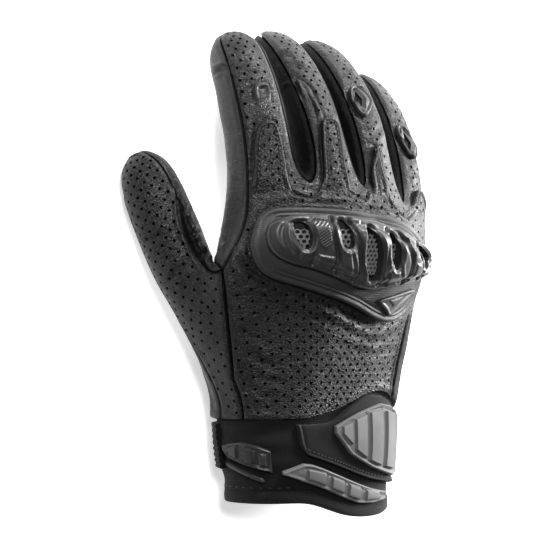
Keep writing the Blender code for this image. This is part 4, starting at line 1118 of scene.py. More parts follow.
def side_loop(wrap, rows, turns=2):
    """Outline of a pattern whose rows run along the hand and give its left and right"""
    left = [wrap.flat(row["left"], row["at"]) for row in rows]
    right = [wrap.flat(row["right"], row["at"]) for row in rows]
    return rounded_loop(left + right[::-1], turns)


def band_loop(wrap, rows, turns=2):
    """Outline of a pattern whose rows run round the hand and give its low and high edge"""
    low = [wrap.flat(row["at"], row["low"]) for row in rows]
    high = [wrap.flat(row["at"], row["high"]) for row in rows]
    return rounded_loop(low + high[::-1], turns)


def lower_loop(mesh):
    """Points of the mesh's lower open edge, in order round the hand"""
    bm = bmesh.new()
    bm.from_mesh(mesh)
    middle = sum(vertex.co.y for vertex in bm.verts) / len(bm.verts)
    rim = [vertex.co.copy() for vertex in bm.verts if vertex.is_boundary and vertex.co.y < middle]
    bm.free()
    return sorted(rim, key=lambda point: wrap_angle(point.x, point.z))


def strap_loop(wrap):
    """Outline of the wrist strap, whose upper edge follows the leather's hem"""
    low = [wrap.flat(row["at"], row["low"]) for row in WRIST_STRAP]
    high = []
    for row in WRIST_STRAP[::-1]:
        angle = math.radians(row["at"])
        hem = hem_height(AXIS_X + math.sin(angle), AXIS_Z + math.cos(angle))
        high.append(Vector((angle * WRAP_RADIUS, hem - 3 * LAY_GAP)))
    return rounded_loop(low + high, 3)


def add_piece(name, mesh, looks, nodes, sharp=38):
    """A piece of the glove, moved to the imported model's frame; it stands for the named nodes"""
    mesh.transform(Matrix.Translation(SHIFT))
    mesh.shade_smooth()
    mesh.set_sharp_from_angle(angle=math.radians(sharp))
    for look in looks:
        mesh.materials.append(look)
    piece = shown(name, mesh)
    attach(piece, "root")
    if nodes:
        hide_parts(*nodes)
    return piece


def ripple(flat, across, along, seed):
    """Smooth noise of about -1 to 1 at flat points, at its own scale each way"""
    return np.array([noise.noise(Vector((x * across, y * along, seed))) for x, y in flat])


def wander(points, scale, seed):
    """Smooth noise of about -1 to 1 at each point"""
    offset = Vector((seed * 3.7, seed * 1.3, seed * 2.1))
    return np.array([noise.noise(Vector(point) * scale + offset) for point in points])


class Skin:
    """The whole leather skin at full fineness, with its seams"""

    def __init__(self):
        mesh = subdivided(skin_cage(), SKIN_LEVELS)
        self.surface = Surface(mesh)
        self.points = as_array(self.surface.points)
        self.normals = as_array(self.surface.normals)
        sides = {}
        for polygon in mesh.polygons:
            for key in polygon.edge_keys:
                sides.setdefault(key, []).append(polygon.material_index)
        samples = []
        for (a, b), panels in sides.items():
            if len(panels) == 1 or panels[0] != panels[1]:
                strip = BACK in panels and any(panel in FOURCHETTES for panel in panels)
                start, run = self.points[a], self.points[b] - self.points[a]
                samples += [(start + run * share, strip) for share in (0, 1 / 3, 2 / 3)]
        self.seams = tree_of([point for point, _ in samples])
        self.strips = tree_of([point for point, strip in samples if strip])
        self.nearest = tree_of(self.points)
        self.creases = [self.path(crease) for crease in CREASES]

    def path(self, crease):
        """A crease as points on the skin, with its depth and width"""
        wrap = wrap_on(self.surface, crease["on"])
        path = split(flat_curve(wrap, crease["line"]), 0.4 * MM, closed=False)
        spots = [wrap.spot(point) for point in path]
        path = np.array([tuple(spot[0]) for spot in spots if spot])
        return path, crease["depth"] * MM, crease["width"] * MM

    def normal(self, point):
        """The skin's normal at a point, from the nearest ones"""
        total = Vector()
        for _, k, distance in self.nearest.find_n(point, 4):
            total += Vector(self.normals[k]) / (distance + 0.02 * MM)
        return total.normalized()

    def height(self, point):
        """How far a point stands over the skin"""
        co, k, _ = self.nearest.find(point)
        return (point - co).dot(Vector(self.normals[k]))

    def relief(self, points, ditches):
        """Height of the leather over the plain skin at the points"""
        seam = np.array([self.seams.find(point)[2] for point in points])
        relief = SEAM_PUFF * bump(seam - PUFF_AT, PUFF_SPAN)
        for row in SKIN_WAVES:
            relief += row["size"] * wander(points, row["scale"], row["seed"])
        for path, depth, width in self.creases:
            reach = 4 * width
            near = np.all((points > path.min(0) - reach) & (points < path.max(0) + reach), axis=1)
            if not near.any():
                continue
            offsets = np.linalg.norm(points[near, None] - path[None], axis=2)
            distance = offsets.min(1)
            place = (offsets.argmin(1) + 0.5) / len(path)
            taper = np.sin(np.pi * place) ** 0.6
            swell = 0.5 * bump(distance - 2.1 * width, width)
            relief[near] += depth * taper * (swell - bump(distance, width))
        off = np.array([ditches.find(point)[2] for point in points])
        relief = np.where(relief > 0, relief * eased((off - 1 * MM) / (4 * MM)), relief)
        relief -= DITCH_DEPTH * bump(off, DITCH_SPAN)
        return relief

    def panel(self, index, ditches):
        """One leather panel in relief, with rolled edges and a wall"""
        surface = self.surface
        chosen = [face for face, panel in zip(surface.faces, surface.panels) if panel == index]
        number = {k: n for n, k in enumerate(sorted({k for face in chosen for k in face}))}
        bm = bmesh.new()
        verts = [bm.verts.new(self.points[k]) for k in number]
        for face in chosen:
            bm.faces.new([verts[number[k]] for k in face])
        deep = [path for path, depth, _ in self.creases if abs(depth) > DEEP_CREASE * MM]
        creases = tree_of(np.vstack(deep))
        close = []
        for edge in bm.edges:
            middle = (edge.verts[0].co + edge.verts[1].co) / 2
            if creases.find(middle)[2] < 1.6 * FINE_REACH or ditches.find(middle)[2] < FINE_REACH:
                close.append(edge)
        bmesh.ops.subdivide_edges(bm, edges=close, cuts=1, use_grid_fill=True)
        bm.normal_update()
        for thickness in (SEAM_RIM, SEAM_LIP):
            bmesh.ops.inset_region(bm, faces=bm.faces[:], thickness=thickness,
                                   use_boundary=True, use_even_offset=True)
        rim = [vertex for vertex in bm.verts if vertex.is_boundary]
        lip = {edge.other_vert(vertex) for vertex in rim for edge in vertex.link_edges} - set(rim)
        points = as_array([vertex.co for vertex in bm.verts])
        heights = self.relief(points, ditches)
        normals = [self.normal(point) for point in points]
        for vertex, height, normal in zip(bm.verts, heights, normals):
            sink = SEAM_SINK if vertex.is_boundary else SEAM_ROLL if vertex in lip else 0
            vertex.co += normal * (height - sink)
        outer = bm.faces[:]
        walls = bmesh.ops.extrude_face_region(bm, geom=outer, use_keep_orig=True)
        for vertex in [item for item in walls["geom"] if isinstance(item, bmesh.types.BMVert)]:
            vertex.co -= self.normal(vertex.co) * LEATHER
        for vertex in bm.verts:
            vertex.co.z = max(vertex.co.z, 0)
        bmesh.ops.recalc_face_normals(bm, faces=bm.faces)
        return mesh_of(bm, PANELS[index])


def ring_of(centre, radius, sides=HOLE_SIDES):
    """A small round flat loop"""
    turns = 2 * np.pi * np.arange(sides) / sides
    return np.array(centre) + radius * np.stack([np.cos(turns), np.sin(turns)], 1)


def ditch_tree(surface):
    """Points along the edges of what is laid on the skin"""
    loops = []
    for spec in TONGUES + FLEX_PANELS + FINGER_GUARDS:
        wrap = finger_wrap(surface, spec["finger"])
        loop = drawn_in(side_loop(wrap, spec["rows"], 4), -0.3 * MM)
        points = split(loop, 0.5 * MM)
        if spec in TONGUES:
            points = points[points[:, 1] > points[:, 1].min() + FADE]
        if spec in FLEX_PANELS:
            points = points[points[:, 1] > points[:, 1].max() - FLEX_RIM]
        loops.append((wrap, points))
    wrap = HandWrap(surface)
    loops.append((wrap, split(drawn_in(band_loop(wrap, KNUCKLE_BASE, 3), -0.3 * MM), 0.5 * MM)))
    spots = [wrap.spot(point) for wrap, loop in loops for point in loop]
    return tree_of([spot[0] for spot in spots if spot])


def perforation(skin, sheets):
    """Where the holes of the back and the thumb lie: their panel, point and normal"""
    covered = tree_of(sheets)
    surface = skin.surface
    view = ViewWrap(surface)
    zones = [np.array(zone) * MM for zone in SMOOTH_ZONES]
    taken = tree_of([])
    spots = []
    for field in HOLE_FIELDS:
        wrap = wrap_on(surface, field["on"])
        panel = PANELS.index(field["panel"])
        seam = SIDE_SEAM if field["panel"] == "back_panel" else THUMB_SEAM
        corners = flat_loop(wrap, ((field["left"], field["low"]), (field["right"], field["high"])))
        found = []
        for flat in staggered(corners[0], corners[1], HOLE_PITCH, HOLE_ROW):
            hit = wrap.spot(flat)
            if hit is None or hit[2] != panel:
                continue
            point, normal, _ = hit
            if skin.seams.find(point)[2] < SEAM_MARGIN or skin.strips.find(point)[2] < STRIP_MARGIN:
                continue
            if covered.find(point)[2] < SHEET_MARGIN:
                continue
            if view.is_beyond(seam, point, SEAM_CLEARANCE):
                continue
            if any(is_within(np.array([view.seen(point)]), zone)[0] for zone in zones):
                continue
            if spots and taken.find(point)[2] < HOLE_ROW * 1.15:
                continue
            found.append((panel, point, normal))
        spots += found
        taken = tree_of([point for _, point, _ in spots])
    return spots


def punched(mesh, spots):
    """The mesh with a round hole through it at each spot"""
    verts, faces = [], []
    for _, point, normal in spots:
        side = normal.orthogonal().normalized()
        up = normal.cross(side)
        first = len(verts)
        for end in (-HOLE_REACH, HOLE_REACH):
            for n in range(HOLE_SIDES):
                turn = 2 * math.pi * n / HOLE_SIDES
                out = side * math.cos(turn) + up * math.sin(turn)
                verts.append(point + normal * end + out * HOLE_RADIUS)
        for n in range(HOLE_SIDES):
            after = (n + 1) % HOLE_SIDES
            faces.append((first + n, first + after, first + HOLE_SIDES + after, first + HOLE_SIDES + n))
        faces.append(tuple(first + n for n in reversed(range(HOLE_SIDES))))
        faces.append(tuple(first + HOLE_SIDES + n for n in range(HOLE_SIDES)))
    cutter = shown("punches", mesh_from("punches", verts, faces))
    blank = shown("blank", mesh)
    cut = blank.modifiers.new("cut", "BOOLEAN")
    cut.object = cutter
    cut.solver = "MANIFOLD"
    evaluated = blank.evaluated_get(bpy.context.evaluated_depsgraph_get())
    result = bpy.data.meshes.new_from_object(evaluated)
    result.materials.clear()
    bpy.data.objects.remove(cutter)
    bpy.data.objects.remove(blank)
    return result


def pattern_holes(outline, low, margin=2.3 * MM):
    """Loops of the perforation that fits inside a flat outline"""
    grid = staggered(outline.min(0) + (0, low), outline.max(0), HOLE_PITCH * 0.92, HOLE_ROW)
    return [ring_of(point, HOLE_RADIUS) for point in grid[depth_within(grid, outline) > margin]]


def add_tongues(surface, looks):
    """The perforated strips up the backs of the fingers, with their stitched edges"""
    meshes = []
    for spec in TONGUES:
        wrap = finger_wrap(surface, spec["finger"])
        outline = side_loop(wrap, spec["rows"], 4)
        start = outline[:, 1].min()

        def top(flat):
            edge = line_distance(flat, outline, closed=True)
            swell = eased((flat[:, 1] - start) / FADE)
            height = OVERLAY * (0.3 + 0.7 * rounding(edge, 0.8 * MM)) + 0.4 * MM
            height += waves(edge, TONGUE_EDGE)
            height += 0.16 * MM * ripple(flat, 110, 420, spec["finger"]) * eased(edge / (1.5 * MM))
            return height * swell - 0.8 * MM * (1 - swell)

        guides = rings(outline, SHEET_STEP, (0.4, 0.9, 1.5, 2.1, 2.7))
        holes = pattern_holes(outline, 0.6 * FADE)
        mesh, _, _ = laid_sheet(spec["name"], wrap, outline, -1.0 * MM, top, holes, guides)
        meshes.append(mesh)
        inner = drawn_in(outline, 2.1 * MM)
        upper = inner[inner[:, 1] > start + 0.9 * FADE]
        split_at = np.argmax(np.linalg.norm(np.roll(upper, -1, 0) - upper, axis=1)) + 1
        run = np.roll(upper, -split_at, 0)
        threads = stitches(wrap, run, LAY_GAP + OVERLAY - 0.2 * MM, 1.5 * MM, 0.7 * MM)
        name = spec["name"]
        add_piece(name + "_leather", mesh.copy(), [looks["leather"]], [name])
        mesh = tubes("stitches", threads, 0.2 * MM)
        add_piece(name + "_stitches", mesh, [looks["thread"]], [])
    return meshes


def add_flex_panels(surface, looks):
    """The smooth panels over the index and middle knuckles, with a folded rim at the top"""
    meshes = []
    for spec in FLEX_PANELS:
        wrap = finger_wrap(surface, spec["finger"])
        outline = side_loop(wrap, spec["rows"], 4)
        top_edge = outline[:, 1].max()

        def top(flat):
            edge = line_distance(flat, outline, closed=True)
            rim = eased((flat[:, 1] - top_edge + FLEX_RIM) / (5 * MM))
            height = 0.6 * MM * eased(edge / (3.0 * MM)) - 0.3 * MM - 0.55 * MM * (1 - rim)
            height += rim * waves(edge, FLEX_EDGE)
            return height + 0.14 * MM * ripple(flat, 60, 700, 9)

        guides = rings(outline, FINE_STEP, (0.4, 0.9, 1.5, 2.1))
        mesh, _, _ = laid_sheet(spec["name"], wrap, outline, -0.9 * MM, top, (), guides, FINE_STEP)
        meshes.append(mesh)
        name = spec["name"]
        add_piece(name + "_leather", mesh.copy(), [looks["satin"]], [name])
    return meshes


def add_finger_guards(surface, looks):
    """The moulded guards with a diamond opening"""
    meshes = []
    for spec in FINGER_GUARDS:
        wrap = finger_wrap(surface, spec["finger"])
        outline = side_loop(wrap, spec["rows"], 4)
        hole = side_loop(wrap, spec["hole"], 1)

        def top(flat):
            edge = line_distance(flat, outline, closed=True)
            inner = line_distance(flat, hole, closed=True)
            height = FINGER_GUARD_THICK * (0.1 + 0.6 * rounding(edge, 1.6 * MM))
            height += waves(edge, FINGER_GUARD_EDGE) + waves(inner, DIAMOND_EDGE)
            height -= 0.75 * MM * eased((1.7 * MM - inner) / (1.7 * MM))
            return 0.45 * MM + height

        guides = rings(outline, FINE_STEP, (0.4, 0.9, 1.4, 1.8, 2.3))
        guides += rings(hole, FINE_STEP, (-0.6, -1.1, -1.6))
        name = spec["name"]
        holes = [split(hole, FINE_STEP)]
        mesh, _, _ = laid_sheet(name, wrap, outline, 0.1 * MM, top, holes, guides, FINE_STEP)
        meshes.append(mesh)
        add_piece(name + "_shell", mesh.copy(), [looks["rubber"]], [name])
    return meshes


def add_flange(surface, looks):
    """The rubber flange round the knuckle guard"""
    wrap = HandWrap(surface)
    outline = band_loop(wrap, KNUCKLE_BASE, 3)

    def top(flat):
        edge = line_distance(flat, outline, closed=True)
        height = BASE_THICK * (0.2 + 0.72 * rounding(edge, 1.1 * MM))
        return LAY_GAP + height + waves(edge, FLANGE_EDGE)

    guides = rings(outline, SHEET_STEP, (0.4, 0.8, 1.2, 1.8, 2.6, 3.4, 4.2, 4.8))
    mesh, flat, faces = laid_sheet("knuckle_base", wrap, outline, 0.1 * MM, top, (), guides)
    under = depth_within(flat[faces].mean(1), band_loop(wrap, KNUCKLE_GUARD, 3)) > 1 * MM
    # Faces under the guard take near-black rubber: painted shade where the guard covers the flange
    for face in np.flatnonzero(under):
        mesh.polygons[int(face)].material_index = 1
    finish = [looks["dotted"], looks["painted_shade_rubber"]]
    add_piece("knuckle_base_rubber", mesh.copy(), finish, ["knuckle_base"])
    return mesh


def add_guard(surface, looks):
    """The glossy slotted shell"""
    wrap = HandWrap(surface)
    seat = 2 * LAY_GAP + BASE_THICK
    outline = band_loop(wrap, KNUCKLE_GUARD, 3)
    slots = [split(side_loop(wrap, slot, 3), GUARD_STEP) for slot in GUARD_SLOTS]
    blocks = [flat_loop(wrap, block["loop"]) for block in GUARD_BLOCKS]
    grooves = [flat_curve(wrap, groove["line"]) for groove in GUARD_GROOVES]
    ridges = [flat_curve(wrap, ridge["line"]) for ridge in GUARD_RIDGES]

    def top(flat):
        inner = line_distance(flat, outline, closed=True)
        height = GUARD_THICK + GUARD_CROWN * eased(inner / GUARD_RIM)
        height += waves(inner, GUARD_EDGE)
        for loop, block in zip(blocks, GUARD_BLOCKS):
            side = np.clip(depth_within(flat, loop) / BLOCK_SIDE, 0, 1)
            height += GUARD_RELIEF["block"] * block["rise"] * MM * side
        for line, groove in zip(grooves, GUARD_GROOVES):
            width = GUARD_RELIEF["groove"] * groove["width"] * MM
            height -= GUARD_RELIEF["groove"] * groove["depth"] * MM * bump(line_distance(flat, line), width)
        for line, ridge in zip(ridges, GUARD_RIDGES):
            width = GUARD_RELIEF["ridge_width"] * ridge["width"] * MM
            height += GUARD_RELIEF["ridge"] * ridge["depth"] * MM * bump(line_distance(flat, line), width)
        for slot in slots:
            height += waves(line_distance(flat, slot, closed=True), SLOT_EDGE)
        return seat + np.maximum(height, 1.0 * MM) * (0.2 + 0.8 * rounding(inner, 0.9 * MM))

    guides = rings(outline, GUARD_STEP, (0.3, 0.6, 1.0))
    for slot in slots:
        guides += [drawn_in(slot, -share * MM) for share in (0.4, 0.8, 1.2, 1.6)]
    mesh, flat, faces = laid_sheet("knuckle_guard", wrap, outline, seat, top, slots, guides, GUARD_STEP)
    centres = flat[faces].mean(1)
    hatched = np.zeros(len(faces), bool)
    for loop, block in zip(blocks, GUARD_BLOCKS):
        if block["hatched"]:
            hatched |= depth_within(centres, loop) > BLOCK_SIDE
    for face in np.flatnonzero(hatched):
        mesh.polygons[int(face)].material_index = 1
    finish = [looks["gloss"], looks["hatched"]]
    add_piece("knuckle_guard_shell", mesh, finish, ["knuckle_guard"])


def add_honeycomb(surface, looks):
    """The mesh that shows through the guard's slots"""
    wrap = HandWrap(surface)
    bottom = 2 * LAY_GAP + BASE_THICK
    rows = [dict(at=row["at"], low=row["low"] + MESH_INSET, high=row["high"] - MESH_INSET)
            for row in KNUCKLE_GUARD[2:-2]]
    outline = band_loop(wrap, rows, 1)
    cells = staggered(outline.min(0), outline.max(0), CELL_PITCH, CELL_PITCH * math.sqrt(3) / 2)
    cells = cells[depth_within(cells, outline) > 0]
    flat, number, faces = [], {}, []
    for cell in cells:
        corners = []
        for n in range(6):
            turn = math.pi / 6 + math.pi / 3 * n
            out = np.array((math.cos(turn), math.sin(turn)))
            corner = cell + out * CELL_PITCH / math.sqrt(3)
            key = tuple(np.round(corner / (0.01 * MM)).astype(int) // 5)
            if key not in number:
                number[key] = len(flat)
                flat.append(corner)
            corners.append((number[key], len(flat)))
            flat.append(cell + out * CELL_HOLE)
        for n in range(6):
            a, b = corners[n], corners[(n + 1) % 6]
            faces.append((a[0], b[0], b[1], a[1]))
    upper, lower = [], []
    for point in flat:
        spot, normal, _ = wrap.spot(point)
        upper.append(spot + normal * (bottom + MESH_THICK))
        lower.append(spot + normal * bottom)
    mesh = closed_sheet("guard_mesh", upper, lower, faces)
    add_piece("guard_mesh_cells", mesh, [looks["cells"]], ["guard_mesh"], 30)


def add_badge(surface, looks):
    """A plain raised triangle on the flange"""
    wrap = HandWrap(surface)
    seat = 2 * LAY_GAP + BASE_THICK
    outline = band_loop(wrap, GUARD_BADGE, 3)
    centre = outline.mean(0)
    core = centre + (outline - centre) * BADGE_CORE

    def top(flat):
        edge = line_distance(flat, outline, closed=True)
        height = BADGE_THICK * (0.15 + 0.65 * rounding(edge, 0.9 * MM))
        height -= 0.40 * MM * eased((edge - 1.2 * MM) / (0.9 * MM))
        height += 0.40 * MM * eased(depth_within(flat, core) / (0.9 * MM))
        return seat - 0.5 * MM + height

    guides = rings(outline, GUARD_STEP, (0.3, 0.6, 0.9, 1.3, 1.8, 2.2))
    mesh, _, _ = laid_sheet("guard_badge", wrap, outline, seat - 0.6 * MM, top, (), guides, GUARD_STEP)
    add_piece("guard_badge_plate", mesh, [looks["rubber"]], ["guard_badge"])


def add_cuff(form, looks):
    """The knitted cuff with soft folds, and its rounded binding"""
    surface = Surface(form)
    points, normals = as_array(surface.points), as_array(surface.normals)
    turn = np.degrees(np.arctan2(points[:, 0] - AXIS_X, points[:, 2] - AXIS_Z))
    depth = -points[:, 1]
    folds = 0.45 * MM * np.sin(depth / (9.5 * MM) * 2 * math.pi + turn / 24) * bump(turn + 85, 45)
    relief = folds + 0.35 * MM * wander(points, 60, 5)
    upper = [Vector(point) for point in points + normals * relief[:, None]]
    lower = [Vector(point) for point in points + normals * (relief - CUFF_WALL)[:, None]]
    for point in upper + lower:
        point.z = max(point.z, 0)
    mesh = closed_sheet("cuff", upper, lower, surface.faces)
    add_piece("cuff_knit", mesh, [looks["knit"]], ["cuff"])

    rim = lower_loop(form)
    centre = sum(rim, Vector()) / len(rim)
    outside = (BINDING_WALL - CUFF_WALL) / 2
    middle_height = (BINDING_HEIGHT + LAY_GAP + BINDING_LAP) / 2
    verts, faces = [], []
    sides = 12
    for k, point in enumerate(rim):
        run = rim[(k + 1) % len(rim)] - rim[k - 1]
        out = Vector((run.z, 0, -run.x)).normalized()
        if out.dot(point - centre) < 0:
            out.negate()
        middle = point + out * (outside - BINDING_WALL / 2) - Vector((0, middle_height - BINDING_LAP, 0))
        for n in range(sides):
            turn = 2 * math.pi * n / sides
            x, y = math.cos(turn), math.sin(turn)
            across = math.copysign(abs(x) ** BINDING_SQUARE[0], x) * (BINDING_WALL / 2 + BINDING_STAND)
            along = math.copysign(abs(y) ** BINDING_SQUARE[1], y) * middle_height
            spot = middle + out * across + Vector((0, along, 0))
            spot.z = max(spot.z, 0)
            verts.append(spot)
    for k in range(len(rim)):
        after = (k + 1) % len(rim)
        for n in range(sides):
            side = (n + 1) % sides
            faces.append((k * sides + n, k * sides + side, after * sides + side, after * sides + n))
    mesh = mesh_from("cuff_binding", verts, faces)
    add_piece("cuff_binding_tape", mesh, [looks["tape"]], ["cuff_binding"])


def add_strap(wrap, looks):
    """The wrist strap with the piping round its padded part"""
    outline = strap_loop(wrap)
    piping = flat_curve(wrap, STRAP_PIPING)
    inner = np.vstack([piping, flat_loop(wrap, ((90, .5), (90, -1.2), (-50, -1.2)))])

    def top(flat):
        edge = line_distance(flat, outline, closed=True)
        height = STRAP_THICK * (0.35 + 0.65 * rounding(edge, 1.2 * MM))
        height += waves(line_distance(flat, piping), PIPING_EDGE)
        height -= 0.25 * MM * eased(depth_within(flat, inner) / (2 * MM))
        height += 0.12 * MM * ripple(flat, 90, 90, 3)
        return LAY_GAP + height

    guides = rings(outline, SHEET_STEP, (0.4, 0.8, 1.2))
    guides += beside(split(piping, FINE_STEP, closed=False), (-1.6, -1.0, -0.5, 0, 0.5, 1.0, 1.6))
    mesh, _, _ = laid_sheet("wrist_strap", wrap, outline, 0.2 * MM, top, (), guides, SHEET_STEP)
    add_piece("wrist_strap_fabric", mesh, [looks["neoprene"]], ["wrist_strap"])


def add_plate(name, wrap, rows, block_rows, bottom, thickness, look, turns=2):
    """A moulded plate with a rim and raised blocks on it"""
    outline = band_loop(wrap, rows, turns)
    blocks = [band_loop(wrap, block, 1) for block in block_rows]

    def top(flat):
        edge = line_distance(flat, outline, closed=True)
        height = thickness * (0.2 + 0.8 * rounding(edge, 0.7 * MM))
        height += waves(edge, PLATE_EDGE)
        for block in blocks:
            height += (BLOCK_RISE - 0.2 * MM) * np.clip(depth_within(flat, block) / (0.45 * MM), 0, 1)
            height -= 0.35 * MM * bump(depth_within(flat, block) + 0.5 * MM, 0.4 * MM)
        return bottom + height

    guides = rings(outline, FINE_STEP, (0.3, 0.7, 1.2, 1.9))
    for block in blocks:
        guides += rings(block, 0.5 * MM, (-0.5, 0, 0.45, 0.9))
    mesh, _, _ = laid_sheet(name, wrap, outline, bottom - 0.5 * MM, top, (), guides, FINE_STEP)
    add_piece(name + "_plate", mesh, [look], [name])


def add_gather(wrap, looks):
    """The elastic gathers on the thumb side of the wrist"""
    corners = [(GATHER["left"], GATHER["high"]), (GATHER["right"], GATHER["high"]),
               (GATHER["right"], GATHER["low"]), (GATHER["left"], GATHER["low"])]
    outline = split(flat_loop(wrap, corners), 2 * MM)
    low, high = outline[:, 1].min(), outline[:, 1].max()

    def top(flat):
        phase = (flat[:, 1] - low) / (high - low) * GATHER["ribs"] * 2 * math.pi
        waver = ripple(flat, 160, 60, 8)
        ribs = np.abs(np.sin(phase + waver)) ** 0.6
        return LAY_GAP + GATHER_THICK + (0.9 + waver) * 0.6 * GATHER_RISE * ribs

    mesh, _, _ = laid_sheet("wrist_gather", wrap, outline, 0.2 * MM, top, (), (), FINE_STEP)
    add_piece("wrist_gather_elastic", mesh, [looks["knit"]], ["wrist_gather"])


def add_cuff_stitches(wrap, looks):
    """Dashed threads above the binding and along the strap's lower edge"""
    line = [(turn, 0.93) for turn in range(-150, -38, 14)]
    threads = stitches(wrap, flat_curve(wrap, line), 0.1 * MM, 2.2 * MM, 1.3 * MM)
    edge = [(row["at"], row["low"] - 0.055) for row in WRIST_STRAP[2:-2]]
    threads += stitches(wrap, flat_curve(wrap, edge), LAY_GAP + STRAP_THICK, 1.8 * MM, 0.9 * MM)
    mesh = tubes("cuff_stitches", threads, 0.26 * MM)
    add_piece("cuff_stitches", mesh, [looks["dark_thread"]], [])


class Look:
    """A material in the making: a Principled shader with nodes added by name"""

    def __init__(self, name, roughness, **sockets):
        self.material = bpy.data.materials.new(name)
        self.material.use_nodes = True
        self.nodes = self.material.node_tree.nodes
        self.links = self.material.node_tree.links
        self.shader = self.nodes["Principled BSDF"]
        self.shader.inputs["Roughness"].default_value = roughness
        for socket, value in sockets.items():
            self.shader.inputs[socket.replace("_", " ")].default_value = value
        self.place = self.nodes.new("ShaderNodeTexCoord").outputs["Object"]

    def added(self, kind, values, links):
        """A new node, its sockets set and linked"""
        node = self.nodes.new(kind)
        for socket, value in values.items():
            node.inputs[socket].default_value = value
        for socket, source in links.items():
            self.links.new(source, node.inputs[socket])
        return node

    def stretched(self, scale, turn=(0, 0, 0)):
        """Object coordinates scaled unevenly, in repeats a metre"""
        values = dict(Scale=scale, Rotation=[math.radians(angle) for angle in turn])
        return self.added("ShaderNodeMapping", values, dict(Vector=self.place)).outputs["Vector"]

    def noise(self, scale, detail=3, place=None, distortion=0.0):
        """Noise of about 0 to 1"""
        values = dict(Scale=scale, Detail=detail, Distortion=distortion)
        return self.added("ShaderNodeTexNoise", values, dict(Vector=place or self.place)).outputs["Fac"]

    def cells(self, scale, feature="DISTANCE_TO_EDGE", randomness=1.0, place=None):
        """Distances in a field of cells"""
        values = dict(Scale=scale, Randomness=randomness)
        node = self.added("ShaderNodeTexVoronoi", values, dict(Vector=place or self.place))
        node.feature = feature
        return node.outputs["Distance"]

    def bands(self, scale, turn, distortion=0.0):
        """Parallel ridges, in repeats a metre"""
        values = dict(Scale=scale * 2 * math.pi / 20, Distortion=distortion)
        links = dict(Vector=self.stretched((1, 1, 1), turn))
        return self.added("ShaderNodeTexWave", values, links).outputs["Fac"]

    def ranged(self, value, low, high, start=0.0, end=1.0):
        """A value taken from one range to another, with soft ends"""
        values = {"From Min": start, "From Max": end, "To Min": low, "To Max": high}
        node = self.added("ShaderNodeMapRange", values, dict(Value=value))
        node.interpolation_type = "SMOOTHSTEP"
        return node.outputs["Result"]

    def product(self, a, b):
        """Two varying values multiplied"""
        node = self.added("ShaderNodeMath", {}, {0: a, 1: b})
        node.operation = "MULTIPLY"
        return node.outputs["Value"]

    def shade(self, value, dark, light):
        """Base colour between two colours, by a varying value"""
        ramp = self.nodes.new("ShaderNodeValToRGB")
        ramp.color_ramp.elements[0].color = (*dark, 1)
        ramp.color_ramp.elements[1].color = (*light, 1)
        self.links.new(value, ramp.inputs["Fac"])
        self.links.new(ramp.outputs["Color"], self.shader.inputs["Base Color"])

    def gloss(self, value):
        """Roughness by a varying value"""
        self.links.new(value, self.shader.inputs["Roughness"])

    def raised(self, *reliefs):
        """Bump from several heights, each with its size in millimetres"""
        links = {}
        for height, size in reliefs:
            links["Height"] = height
            bump_node = self.added("ShaderNodeBump", dict(Distance=size * MM), links)
            links["Normal"] = bump_node.outputs["Normal"]
        self.links.new(links["Normal"], self.shader.inputs["Normal"])


def grey(value, warmth=0.0):
    """A dark neutral, a little warmer or cooler"""
    return (value * (1 + warmth), value, value * (1 - warmth))


def leather(name, value, smoothness=0.0, grain=1.0, sheen=0.5):
    """Soft grained leather: pebbles, fine creases that run across, worn and dull patches"""
    look = Look(name, 0.45, IOR=1.45, Specular_IOR_Level=sheen)
    sides = [side / grain for side in (640, 1080, 820)]
    pebbles = look.ranged(look.cells(1, place=look.stretched(sides)), 0, 1, 0, 0.17)
    creases = look.noise(1, 3, look.stretched((150, 380, 220)), 0.8)
    fine = look.noise(1, 2, look.stretched((900, 1700, 1300)))
    patches = look.noise(45, 3)
    look.shade(look.ranged(patches, 0, 1, 0.3, 0.7), grey(value * 0.72), grey(value * 1.28))
    wear = look.product(patches, creases)
    look.gloss(look.ranged(wear, 0.53 - smoothness, 0.41 - smoothness, 0.14, 0.34))
    look.raised((creases, 0.50), (pebbles, 0.17), (fine, 0.07))
    return look.material


def satin(name, value):
    """Smooth leather with fine lines across"""
    look = Look(name, 0.4)
    lines = look.noise(1, 3, look.stretched((120, 1500, 500)))
    patches = look.noise(60, 2)
    look.shade(patches, grey(value * 0.8), grey(value * 1.25))
    look.gloss(look.ranged(lines, 0.60, 0.48, 0.3, 0.7))
    look.raised((lines, 0.22), (look.noise(1700, 2), 0.05))
    return look.material


def rubber(name, value, roughness, dots=False):
    """Matt moulded rubber, smooth or with a field of tiny studs"""
    look = Look(name, roughness)
    patches = look.noise(70, 3)
    look.shade(patches, grey(value * 0.85), grey(value * 1.15))
    look.gloss(look.ranged(patches, roughness + 0.06, roughness - 0.06, 0.3, 0.7))
    reliefs = [(look.noise(1900, 3), 0.05)]
    if dots:
        reliefs.append((look.ranged(look.cells(1000, "F1", 0.0), 1, 0, 0.18, 0.46), 0.10))
    look.raised(*reliefs)
    return look.material


def shell(name, value, roughness, hatched=False):
    """Glossy moulded plastic; hatched parts carry fine slanting ridges"""
    look = Look(name, roughness)
    smears = look.noise(55, 3)
    look.shade(smears, grey(value * 0.85), grey(value * 1.2))
    look.gloss(look.ranged(smears, roughness + 0.05, roughness - 0.03, 0.35, 0.65))
    reliefs = [(look.noise(700, 2), 0.012)]
    if hatched:
        reliefs.append((look.bands(900, (0, 0, 55)), 0.5))
    look.raised(*reliefs)
    return look.material


